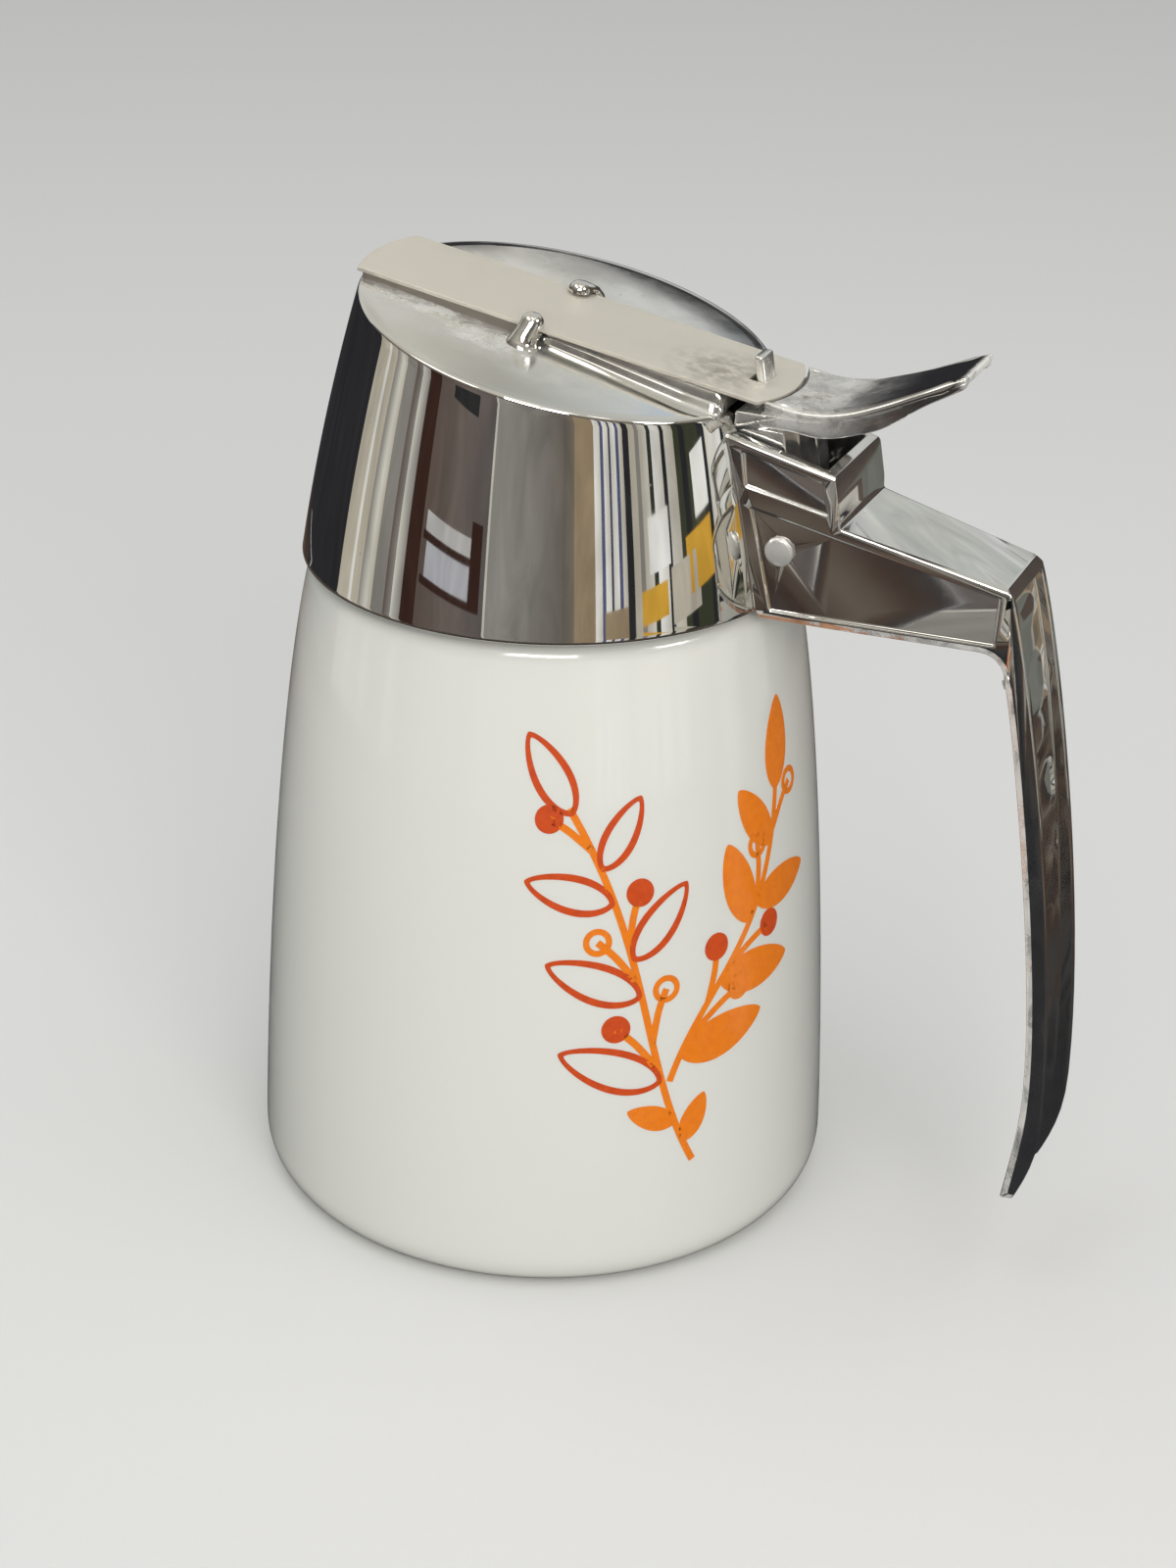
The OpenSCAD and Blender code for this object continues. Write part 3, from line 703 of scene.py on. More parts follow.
def drop_scraps(piece):
    """Removes the slivers that cutting and rounding leave on a piece and beside it."""
    with edited(piece) as shape:
        for _ in range(2):
            bmesh.ops.triangulate(shape, faces=shape.faces)
            bmesh.ops.remove_doubles(shape, verts=shape.verts, dist=SCRAP_MM * MM)
            bmesh.ops.dissolve_degenerate(shape, dist=SCRAP_MM * MM, edges=shape.edges)
            twins = {}
            for face in shape.faces:
                twins.setdefault(frozenset(face.verts), []).append(face)
            folded = [face for same in twins.values() if len(same) > 1 for face in same]
            bmesh.ops.delete(shape, geom=folded, context="FACES")
        seen, scraps = set(), []
        for first in shape.faces:
            island, waiting = [], [] if first in seen else [first]
            seen.add(first)
            while waiting:
                face = waiting.pop()
                island.append(face)
                beside = {other for edge in face.edges for other in edge.link_faces} - seen
                seen |= beside
                waiting += beside
            if len(island) < SCRAP_FACES:
                scraps += island
        bmesh.ops.delete(shape, geom=scraps, context="FACES")
    return piece


def copied(name, node):
    """A loose copy of a CAD node's mesh, merged into whole faces."""
    return clean(in_scene(name, frame["nodes"][node].data.copy()), FLAT_ANGLE)


def mark(piece, name, values, domain="POINT"):
    made = piece.data.attributes.new(name, "FLOAT", domain)
    made.data.foreach_set("value", np.array(values, np.float32))


SPOT_REACH, SPOT_LIMIT, DECK_DEPTH = 1.3, 1.3, 0.2


def paint(piece, name, spots=(), base=0.0, deck_only=False):
    """Marks a piece round the given spots. Each spot is a centre, three radii and a strength."""
    places = np.empty(len(piece.data.vertices) * 3)
    piece.data.vertices.foreach_get("co", places)
    places = places.reshape(-1, 3) / MM
    values = np.full(len(places), float(base))
    for centre, radii, strength in spots:
        apart = np.linalg.norm((places - np.array(centre, float)) / np.array(radii, float), axis=1)
        values = np.maximum(values, np.minimum(SPOT_LIMIT, strength * np.clip(SPOT_REACH - apart, 0, 1)))
    if deck_only:
        values *= np.clip(1.5 - np.abs(places[:, 2] - deck_at(places[:, 0])) / DECK_DEPTH, 0, 1)
    mark(piece, name, values)


def finish_piece(piece, body, slot, nodes=()):
    piece.data.materials.clear()
    piece.data.materials.append(FINISHES[slot])
    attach(piece, body)
    if nodes:
        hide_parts(*nodes)


# The shapes that follow a rule or a path


def revolve_tree():
    """Turns a line of points in x and z round the z axis."""
    t = Shaper("revolve", Sides=192, Count=10)
    sides, count = t.given["Sides"], t.given["Count"]
    grid = t.geo("MeshGrid", {"Vertices X": t.plus(sides, 1), "Vertices Y": count})
    index = t.geo("InputIndex")
    row = t.sums("FLOOR", t.sums("DIVIDE", t.plus(index, 0.5), count))
    spot = t.split(t.geo("SampleIndex", {
        "Geometry": t.given["Geometry"], "Value": t.geo("InputPosition"),
        "Index": t.minus(index, t.times(row, count)),
    }, data_type="FLOAT_VECTOR"))
    angle = t.sums("DIVIDE", t.times(row, 2 * pi), sides)
    x, y = (t.times(spot["X"], t.sums(turned, angle)) for turned in ("COSINE", "SINE"))
    return t.close(t.merged(t.moved(grid, t.vector(X=x, Y=y, Z=spot["Z"]))))


def revolved(name, profile, sides, material):
    source = add_object("profile", [(r, 0, z) for r, z in profile], edges=chain(len(profile)))
    return clean(TREES["revolve"].run(source, name, material, Sides=sides, Count=len(profile)))


def wire_tree():
    """A round rod along a path. The path's own sizes scale it from point to point."""
    t = Shaper("wire", Radius=0.00045, Sides=14, Spacing=0.0002)
    ring = t.geo("CurvePrimitiveCircle", {"Resolution": t.given["Sides"], "Radius": t.given["Radius"]})
    return t.close(t.geo("CurveToMesh", {
        "Curve": t.sized_curve(t.given["Spacing"]), "Profile Curve": ring, "Fill Caps": True,
    }))


def wired(name, path, sizes, material, **values):
    source = add_object("path", path, edges=chain(len(path)))
    mark(source, "size", sizes)
    return clean(TREES["wire"].run(source, name, material, **values))


RAY_START, RAY_REACH, PRINT_SUNK, PRINT_T = 0.06, 0.05, 0.03 * MM, 0.08 * MM


def wrapped(t, flat):
    """Lays a flat print on the jar as a thin skin of enamel. X runs round the jar, and Y up it."""
    flat_place = t.split(t.geo("InputPosition"))
    angle = t.plus(t.sums("DIVIDE", flat_place["X"], PRINT_R * MM), t.given["Turn"])
    out = t.vector(X=t.sums("COSINE", angle), Y=t.sums("SINE", angle))
    start = t.vectors("ADD", {0: t.scaled(out, RAY_START), 1: t.vector(Z=flat_place["Y"])})
    hit = t.geo("Raycast", {
        "Target Geometry": t.geo("ObjectInfo", {"Object": t.given["Jar"]}).outputs["Geometry"],
        "Source Position": start, "Ray Direction": t.scaled(out, -1.0), "Ray Length": RAY_REACH,
    }).outputs["Hit Position"]
    level = t.vectors("MULTIPLY", {0: t.geo("InputPosition"), 1: (1, 1, 0)})
    outwards = t.vectors("NORMALIZE", {0: level})
    base = t.geo("SetPosition", {"Geometry": t.moved(flat, hit), "Offset": t.scaled(outwards, -PRINT_SUNK)})
    raised = t.geo("ExtrudeMesh", {
        "Mesh": base, "Offset": outwards, "Offset Scale": PRINT_T, "Individual": False,
    })
    both = t.geo("JoinGeometry", {"Geometry": t.geo("FlipFaces", {"Mesh": base})})
    t.feed(both.inputs["Geometry"], raised)
    return t.merged(both)


def leaf_tree():
    """Leaves, leaf outlines and berries. Each point of the source carries the sizes of one of them."""
    t = Shaper("printed_leaves", Turn=0.0, Jar=None, Around=56)
    place = t.split(t.geo("InputPosition"))
    around, inwards = t.times(t.plus(place["X"], 0.5), 2 * pi), t.plus(place["Y"], 0.5)
    count = t.given["Around"]
    grid = t.geo("MeshGrid", {"Size X": 1.0, "Size Y": 1.0, "Vertices X": count, "Vertices Y": 4})
    for label, value in (("round", around), ("inset", inwards)):
        grid = t.geo("StoreNamedAttribute", {"Geometry": grid, "Name": label, "Value": value})
    spread = t.geo("InstanceOnPoints", {"Points": t.given["Geometry"], "Instance": grid})
    loose = t.geo("RealizeInstances", {"Geometry": spread})
    turn, inset, slant = t.named("round"), t.named("inset"), t.named("slant")
    sine, cosine = t.sums("SINE", turn), t.sums("COSINE", turn)
    pinch = t.sums("POWER", t.sums("ABSOLUTE", sine), t.named("pinch"))
    belly = t.minus(1.0, t.times(cosine, t.named("belly")))
    along = t.times(cosine, t.named("long"), 0.5, t.minus(1.0, t.times(inset, t.named("inset_long"))))
    across = t.times(
        sine, pinch, t.named("wide"), 0.5, belly, t.minus(1.0, t.times(inset, t.named("inset_wide"))),
    )
    sine, cosine = t.sums("SINE", slant), t.sums("COSINE", slant)
    shape = t.vector(
        X=t.plus(t.named("at_x"), t.minus(t.times(along, cosine), t.times(across, sine))),
        Y=t.plus(t.named("at_y"), t.plus(t.times(along, sine), t.times(across, cosine))),
    )
    return t.close(wrapped(t, t.merged(t.moved(loose, shape), 0.004)))


def stem_tree():
    """Stems: a flat band along each path of the source, as wide as the path's own sizes say."""
    t = Shaper("printed_stems", Turn=0.0, Jar=None)
    level = t.geo("SetCurveNormal", {"Curve": t.sized_curve(0.6 * MM)}, mode="Z_UP")
    line = t.geo("CurvePrimitiveLine", {"Start": (-0.5 * MM, 0, 0), "End": (0.5 * MM, 0, 0)})
    return t.close(wrapped(t, t.geo("CurveToMesh", {"Curve": level, "Profile Curve": line})))


# Jar


CORNER_R, CORNER_H, LIP_R, INNER_CORNER_R = 4, 5, 1.2, 6
SIDE_SWELL, SIDE_END_Z = 5.95, 90.4
INSIDE_CAD = 0.03


def jar_profile():
    """Radius and height from the middle of the foot, up the outside, over the mouth and down the inside."""
    foot = [(0, 1.1), (10, 1.1), (20, 1.1), (28, 1.05)]
    heel = bezier([(29, 1.0), (31, 0.9), (32, 0.0), (33.5, 0.0)], 6)
    widest = JAR_R - INSIDE_CAD
    corner = arc((widest - CORNER_R, CORNER_H), (CORNER_R, CORNER_H), -90, 0, 14)
    side = bezier([
        (widest, 5.4), (widest, 10.4), (SHOULDER_R + SIDE_SWELL, SHOULDER_Z - 25.7),
        (SHOULDER_R, SHOULDER_Z - 0.4)
    ], 64)
    side = side[side[:, 1] < SIDE_END_Z]
    shoulder = bezier([
        (side[-1][0] - 0.1, side[-1][1] + 0.45), (SHOULDER_R + 0.05, SHOULDER_Z - 1.1),
        (SHOULDER_R - 1.0, SHOULDER_Z + 0.2), (SHOULDER_R - 3.3, SHOULDER_Z + 0.25)
    ], 20)
    neck = np.concatenate([
        arc((NECK_R + LIP_R, SHOULDER_Z + 1.45), (LIP_R, LIP_R), 270, 180, 6),
        arc((NECK_R - LIP_R, RIM_Z - LIP_R), (LIP_R, LIP_R), 0, 90, 6),
        arc((MOUTH_R + 1, RIM_Z - 1), (1, 1), 90, 178, 6),
    ])
    inner_r, inner_corner = JAR_R - GLASS_T, INNER_CORNER_R
    inside = np.concatenate([
        bezier([
            (MOUTH_R, SHOULDER_Z + 5), (MOUTH_R, SHOULDER_Z + 1),
            (SHOULDER_R - GLASS_T - 3, SHOULDER_Z), (SHOULDER_R - GLASS_T - 1.4, SHOULDER_Z - 4.8)
        ], 8),
        bezier([
            (SHOULDER_R - GLASS_T - 1, SHOULDER_Z - 6), (SHOULDER_R + SIDE_SWELL - GLASS_T, SHOULDER_Z - 30),
            (inner_r + 0.1, 20), (inner_r, BASE_T + 8)
        ], 20),
        arc((inner_r - inner_corner, BASE_T + inner_corner), (inner_corner, inner_corner), 0, -90, 8),
    ])
    return np.concatenate([foot, heel, corner, side, shoulder, neck, inside, [(0, BASE_T)]])


def thread_bead(radius, start_z, finish):
    """A helical bead that fades out at both ends."""
    steps, fade = 24, 4
    count = int(THREAD_TURNS * steps)
    path, sizes = [], []
    for i in range(count + 1):
        a = 2 * pi * i / steps
        path.append((radius * cos(a), radius * sin(a), start_z + THREAD_PITCH * i / steps))
        sizes.append(max(0.15, min(1, i / fade, (count - i) / fade)))
    return wired("bead", path, sizes, FINISHES[finish], Radius=THREAD_BEAD_R * MM, Spacing=0.9 * MM)


def make_jar():
    glass = revolved("glass_jar_body", jar_profile(), 192, FINISHES["opal_glass"])
    bead = thread_bead(NECK_R + 0.05, THREAD_Z, "opal_glass")
    jar = smooth(joined("glass_jar_body", [glass, bead]), 60)
    finish_piece(jar, "jar", "opal_glass", ["glass_jar"])
    make_print(jar)


# The fired-on print: a sprig of leaves and berries, in millimetres on the flat

PRINT_R = 39.5
PRINT_TURN = atan2(-cos(CAMERA_AZIMUTH), sin(CAMERA_AZIMUTH)) + radians(26)
LINE_WIDTH, BERRY_SIZE, STEM_WIDTHS = 0.85, 4.0, (1.5, 0.8)
TWIG_WIDTH, TWIG_ANGLE, TWIG_BOW = 0.6, radians(27), 0.12
SPRIGS = {
    "left": bezier([(3, 18), (-5, 34), (-3, 52), (-15, 72)], 60),
    "right": bezier([(-0.6, 31), (5, 46), (17, 48), (20, 69)], 60),
}
# Leaves: share of the way up a stem, side, degrees off the stem, length and width
OUTLINED = (
    (0.28, 1, 54, 15.5, 6.4), (0.53, 1, 54, 14.5, 6.0), (0.64, -1, 54, 13.0, 5.6),
    (0.79, 1, 54, 13.0, 5.6), (0.88, -1, 54, 11.5, 5.0), (1.0, 1, 0, 13.0, 5.6),
)
SOLID = (
    (0.10, -1, 52, 14.5, 6.2), (0.38, -1, 52, 14.0, 6.0), (0.62, 1, 52, 13.0, 5.6),
    (0.68, -1, 52, 12.5, 5.4), (0.88, 1, 52, 11.5, 5.0), (1.0, 1, 0, 13.0, 5.6),
)
LOW_LEAVES = ((0.07, -1, 48, 7.5, 3.6), (0.15, 1, 48, 7.5, 3.6))
# Twigs: stem, share of the way up it, side, reach, and whether the berry is a ring
TWIGS = (
    ("left", 0.31, 1, 9.5, False), ("left", 0.40, -1, 8.0, True), ("left", 0.56, 1, 9.0, True),
    ("left", 0.67, -1, 8.0, False), ("left", 0.92, 1, 7.5, False), ("right", 0.16, -1, 10.0, True),
    ("right", 0.30, 1, 8.0, False), ("right", 0.45, -1, 9.0, False), ("right", 0.68, 1, 8.5, True),
    ("right", 0.90, -1, 7.5, True),
)


def leaf(spot, slant, long, wide, line=0.0, pinch=0.35, belly=0.18):
    x, y = np.array(spot) + 0.5 * long * np.array((cos(slant), sin(slant)))
    insets = (2 * line / long, 2.3 * line / wide) if line else (0.0, 1.0)
    return {
        "at_x": x * MM, "at_y": y * MM, "slant": slant, "long": long * MM, "wide": wide * MM,
        "pinch": pinch, "belly": belly, "inset_long": insets[0], "inset_wide": insets[1],
    }


def berry(spot, size, line=0.0):
    made = leaf((spot[0] - size / 2, spot[1]), 0.0, size, size, pinch=0.0, belly=0.0)
    if line:
        made["inset_long"] = made["inset_wide"] = 2 * line / size
    return made


def along(path, share):
    """A point of a path, and the path's direction there."""
    i = int(share * (len(path) - 2))
    step = path[i + 1] - path[i]
    return path[i], atan2(step[1], step[0])


def leaves_on(stem, rows, line=0.0):
    made = []
    for share, side, off, long, wide in rows:
        spot, heading = along(SPRIGS[stem], share)
        made.append(leaf(spot, heading + side * radians(off), long, wide, line=line))
    return made


def make_print(jar):
    solid = leaves_on("right", SOLID) + leaves_on("left", LOW_LEAVES)
    outlined = leaves_on("left", OUTLINED, LINE_WIDTH)
    berries, rings = [], []
    stems = [(path, np.linspace(*STEM_WIDTHS, len(path))) for path in SPRIGS.values()]
    for name, share, side, reach, ringed in TWIGS:
        spot, heading = along(SPRIGS[name], share)
        bend = heading + side * TWIG_ANGLE
        end = spot + reach * np.array((cos(bend), sin(bend)))
        middle = (spot + end) / 2 + TWIG_BOW * reach * np.array((cos(heading), sin(heading)))
        stems.append((bezier([spot, middle, middle, end], 12), np.full(13, TWIG_WIDTH)))
        (rings if ringed else berries).append(berry(end, BERRY_SIZE, LINE_WIDTH if ringed else 0.0))
    leaves = leaf_tree()
    for name, marks, enamel_name in (
        ("print_orange_leaves", solid, "orange_enamel"), ("print_outlined_leaves", outlined, "red_enamel"),
        ("print_red_berries", berries, "red_enamel"), ("print_ringed_berries", rings, "orange_enamel"),
    ):
        source = add_object("marks", [(i, 0, 0) for i in range(len(marks))])
        for label in marks[0]:
            mark(source, label, [m[label] for m in marks])
        finish_print(leaves, source, name, enamel_name, jar)
    points, edges = [], []
    for path, _ in stems:
        edges += chain(len(path), len(points))
        points += [(x, y, 0) for x, y in path]
    source = add_object("stems", points, edges=edges)
    mark(source, "size", np.concatenate([widths for _, widths in stems]))
    finish_print(stem_tree(), source, "print_stems", "orange_enamel", jar)


def finish_print(tree, source, name, enamel_name, jar):
    piece = tree.run(source, name, ENAMELS[enamel_name], Turn=PRINT_TURN, Jar=jar)
    smooth(clean(piece), 40)
    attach(piece, "jar")


# Head

RIM_EASING, COLLAR_LIP, COLLAR_LIP_IN = 0.55, (0.45, 0.4), 0.5
HEAD_SIDES = 288
SPOUT_X, SPOUT_HALF, SPOUT_R = -22.9, 2.5, 2.3
HINGE_POCKET_HALF = 7.4
HINGE_POCKET = [
    (27.2, 135), (27.2, 115), (31.9, 108), (31.9, 96.5), (42.3, 96.5), (42.3, 108.2), (41.3, 114),
    (39.3, 135),
]


def deck_at(x):
    return DECK_Z - DECK_FALL * x


def collar_at(z):
    d = z - COLLAR_Z
    return COLLAR_R - COLLAR_LEAN * d - COLLAR_CURL * d * d


def blade_under(x):
    return BLADE_Z - BLADE_SEEN * hypot(1, BLADE_FALL) - BLADE_FALL * x


def head_section(angle):
    """The head's closed outline in radius and height at one angle round the axis."""
    fall = DECK_FALL * cos(angle)
    z = DECK_Z
    for _ in range(30):
        z = DECK_Z - fall * collar_at(z)
    rim = np.array([collar_at(z), z])
    up = np.array([-(COLLAR_LEAN + 2 * COLLAR_CURL * (z - COLLAR_Z)), 1])
    inwards = np.array([-1, fall])
    start = rim - RIM_EASING * up / np.linalg.norm(up)
    end = rim + RIM_EASING * inwards / np.linalg.norm(inwards)
    t = np.linspace(0, 1, 7)[:, None]
    corner = (1 - t) ** 2 * start + 2 * t * (1 - t) * rim + t * t * end
    lip = arc((COLLAR_R - COLLAR_LIP_IN, COLLAR_Z + COLLAR_LIP[1]), COLLAR_LIP, -90, 0, 5)
    side = [(collar_at(h), h) for h in np.linspace(COLLAR_Z + 2 * COLLAR_LIP[1], start[1], 40)[:-1]]
    deck = [(r, DECK_Z - fall * r) for r in np.linspace(end[0], 0, 22)[1:]]
    inside = [(r, DECK_Z - DECK_T - fall * r) for r in np.linspace(0, CAVITY_HIGH_R, 6)]
    inside += [(CAVITY_LOW_R, SEAT_Z), (BORE_R, SEAT_Z), (BORE_R, COLLAR_Z)]
    return np.concatenate([lip, side, corner, deck, inside])


def make_head():
    sides, rings = HEAD_SIDES, []
    for i in range(sides):
        a = 2 * pi * (i + 0.5) / sides
        rings.append([(r * cos(a), r * sin(a), z) for r, z in head_section(a)])
    rings = np.array(rings)
    m = rings.shape[1]
    faces = [
        (i * m + j, (i + 1) % sides * m + j, (i + 1) % sides * m + (j + 1) % m, i * m + (j + 1) % m)
        for i in range(sides) for j in range(m)
    ]
    head = clean(add_object("head_collar_and_deck", rings.reshape(-1, 3), faces))
    combine(head, prism("pocket", HINGE_POCKET, -HINGE_POCKET_HALF, HINGE_POCKET_HALF, upright=True))
    combine(head, spout_cutter())
    bead = thread_bead(BORE_R - 0.05, THREAD_Z - THREAD_PITCH / 2, "chromed_casting")
    head = smooth(joined("head_collar_and_deck", [head, bead]), 40)
    hazed = (
        (-4, -13, (11, 6, 6), 1.0), (9, -16, (14, 7, 6), 0.6), (-14, -10, (14, 4, 6), 1.0),
        (-18, -11, (8, 6, 6), 0.55), (-8, 20, (12, 8, 6), 0.3),
    )
    hazed = [((x, y, deck_at(x)), radii, level) for x, y, radii, level in hazed]
    paint(head, "haze", hazed, 0.12, deck_only=True)
    paint(head, "grime_and_shade", [((-7, -9.8, deck_at(-7)), (7, 2.0, 4), 0.42)], deck_only=True)
    finish_piece(head, "head", "chromed_casting", ["head_shell"])


def spout_cutter():
    outline = np.concatenate([
        arc((SPOUT_X, SPOUT_HALF), (SPOUT_R, SPOUT_R), 0, 180, 16),
        arc((SPOUT_X, -SPOUT_HALF), (SPOUT_R, SPOUT_R), 180, 360, 16),
    ])
    return prism("spout", outline, 118, 140)


BED_R, BED_HALF, BED_STEP, BED_NOSE_X, BED_END_X = 26.1, 7.3, 1.05, -24, 27.2
BED_FLARE, UNDER_BLADE_GAP, UNDER_DECK = 0.04, 0.06, 0.5
RAMP_START, RAMP_END, RAMP_NOSE, RAMP_INNER_Y = 0.6, 26, 1.35, 7.0
RAMP_OUTER_X = (RAMP_START, 1.4, 8.3, 16.1, 22, 26.5, 28.2)
RAMP_OUTER_Y = (7.9, 8.2, 8.9, 10.3, 11.2, 11.3, 11.2)


def bed_rings():
    """Sections of the bed that the blade slides on. It narrows where the ramps start."""
    rings = []
    nose = -BED_R * np.cos(np.radians(np.linspace(1, 19, 10)))
    for x in np.concatenate([nose, np.linspace(BED_NOSE_X, BED_END_X, 60)]):
        reach = sqrt(max(0.04, BED_R ** 2 - x * x)) if x < -20 else 99
        high, low = blade_under(x) - UNDER_BLADE_GAP, deck_at(x)
        half = min(BED_HALF + BED_STEP * float(np.interp(x, (-0.5, 1.2), (1, 0))), reach)
        side = [(half + BED_FLARE * a, high + (low - high) * a) for a in np.linspace(0, 1, 4)]
        foot = [(x, y, low - UNDER_DECK) for y in (half + BED_FLARE, -half - BED_FLARE)]
        rings.append([(x, y, z) for y, z in side] + foot + [(x, -y, z) for y, z in side[::-1]])
    return rings


def ramp_rings(side):
    """Sections of a ramp with two flutes, rounded off at its far end."""
    nose = RAMP_END + RAMP_NOSE * np.sin(np.radians(np.linspace(10, 90, 9)))
    rings = []
    for x in np.concatenate([np.linspace(RAMP_START, 26.0, 60), nose]):
        over = max(0.0, (x - RAMP_END) / RAMP_NOSE)
        shrink = sqrt(max(0.0, 1 - over * over)) if x > RAMP_END else 1
        outer = np.interp(x, RAMP_OUTER_X, RAMP_OUTER_Y)
        tall = (blade_under(x) - 2 * UNDER_BLADE_GAP - deck_at(x)) * min(1, (x + 0.4) / 2)
        s = np.linspace(0, 1, 44)
        first = np.exp(-(np.maximum(0, s - 0.30) / 0.17) ** 2)
        second = 0.62 * np.exp(-((s - 0.68) / 0.15) ** 2)
        height = np.maximum(first, second) * (1 - s ** 10) * tall * shrink
        y = RAMP_INNER_Y + (outer - RAMP_INNER_Y) * (0.5 + (s - 0.5) * (0.35 + 0.65 * shrink))
        top = [(x, side * yy, deck_at(x) + h) for yy, h in zip(y, height)]
        low = [(x, side * yy, deck_at(x) - UNDER_DECK) for yy in (y[-1], y[0])]
        rings.append(top + low)
    return rings


def make_track():
    """The raised bed under the blade, with a fluted ramp beside it on each side."""
    bed = smooth(combine(loft("blade_track_bed", bed_rings()), spout_cutter()), 30)
    paint(bed, "haze", base=0.7)
    # Painted shadow: the bed's sides are made dark brown and matt all over, standing in for the shadow in
    # the gap under the blade's edge
    paint(bed, "grime_and_shade", base=1.25)
    finish_piece(bed, "head", "chromed_casting")
    for side, label in ((-1, "near"), (1, "far")):
        ramp = smooth(loft("blade_ramp_" + label, ramp_rings(side)), 60)
        paint(ramp, "haze", base=0.45)
        finish_piece(ramp, "head", "chromed_casting")


# Each lug's post: x, y, height over DECK_Z, and radius
NEAR_LUG = (
    (-0.35, -10.35, -0.6, 2.6), (-0.35, -10.35, -0.1, 2.4), (-0.3, -10.3, 0.15, 2.05),
    (-0.2, -10.2, 0.45, 1.85), (-0.1, -10.05, 0.8, 1.74), (0.1, -9.8, 1.2, 1.68), (0.3, -9.4, 1.75, 1.68),
    (0.45, -9.05, 2.3, 1.66),
)
FAR_LUG = (
    (1.6, 9.8, -0.9, 1.1), (1.6, 9.8, 0.2, 1.0), (1.5, 9.7, 1.1, 0.95), (1.2, 9.3, 1.8, 0.9),
    (0.8, 8.6, 2.2, 0.95), (0.4, 8.0, 2.25, 1.35), (0.1, 7.6, 2.2, 1.62), (-0.1, 7.35, 2.15, 1.7),
)
# The fin before the near lug: x, half its width and its height over the deck
LUG_FIN_Y = (-10.1, -9.9)
LUG_FIN = ((-3.3, 0.05, 0.02), (-2.6, 0.25, 0.25), (-1.9, 0.45, 0.7), (-1.0, 0.7, 1.3))


def post(name, table, sides=32):
    """A round post along a path, with a domed end."""
    path = np.array([(x, y, DECK_Z + h) for x, y, h, _ in table], float)
    radii = [r for *_, r in table]
    last = (path[-1] - path[-2]) / np.linalg.norm(path[-1] - path[-2])
    dome = np.radians(np.linspace(8, 90, 10))
    centres = np.concatenate([path, [path[-1] + sin(a) * radii[-1] * last for a in dome]])
    sizes = radii + [radii[-1] * cos(a) for a in dome]
    skin = []
    for i, (centre, r) in enumerate(zip(centres, sizes)):
        step = centres[min(i + 1, len(centres) - 1)] - centres[max(i - 1, 0)]
        axis = step / np.linalg.norm(step)
        across = np.cross(axis, (1, 0, 0))
        across /= np.linalg.norm(across)
        along_x = np.cross(across, axis)
        turns = np.linspace(0, 2 * pi, sides, endpoint=False)
        skin.append([tuple(centre + r * (cos(b) * along_x + sin(b) * across)) for b in turns])
    return loft(name, skin)


CHANNEL_RUN, CHANNEL_HALF, CHANNEL_LOW, CHANNEL_HIGH = 20, 8.75, -6, 0.38


def blade_channel():
    """The room the blade slides in, cut from the lugs."""
    half, low, high = CHANNEL_HALF, CHANNEL_LOW, CHANNEL_HIGH
    corners = ((-half, low), (half, low), (half, high), (-half, high))
    return loft("channel", [
        [(x, y, BLADE_Z + dz - BLADE_FALL * x) for y, dz in corners] for x in (-CHANNEL_RUN, CHANNEL_RUN)
    ])


def make_lugs():
    """Two posts beside the blade, with rounded heads bent over its edges."""
    fin = []
    for x, w, h in LUG_FIN:
        low, high = deck_at(x) - 0.3, deck_at(x) + h
        outer, inner = LUG_FIN_Y
        fin.append([
            (x, outer - w, low), (x, inner + w, low), (x, inner + w * 0.3, high), (x, outer - w * 0.3, high),
        ])
    posts = (post("near", NEAR_LUG), post("far", FAR_LUG))
    lugs = [combine(lug, blade_channel()) for lug in posts] + [smooth(loft("fin", fin))]
    lugs = smooth(joined("blade_guide_lugs_rounded", lugs), 50)
    paint(lugs, "haze", base=0.12)
    finish_piece(drop_scraps(lugs), "head", "chromed_casting", ["blade_guide_lugs"])


# Arm and grip. A test for edges gets a side face's normal, the normal of the face it meets, and the middle


def arm_top(side, top, p):
    return abs(side.y) > SIDEWAYS and top.z > 0.8 and p.x > 44 and p.z > 95


def box_top(side, top, p):
    return abs(side.y) > SIDEWAYS and top.z > 0.8 and p.x < 44 and p.z > 110 and abs(p.y) > 8


def arm_and_grip_inside(side, low, p):
    facing = (low.z < -0.5 and p.z < 97) or (low.x < -0.5 and p.z < 93)
    return abs(side.y) > SIDEWAYS and abs(p.y) > 6.4 and facing


def on_inner_edge(p, n):
    return abs(n.y) > 0.75 and (n.x < -0.2 or n.z < -0.2) and p.z < 97 and abs(p.y) > 6.2


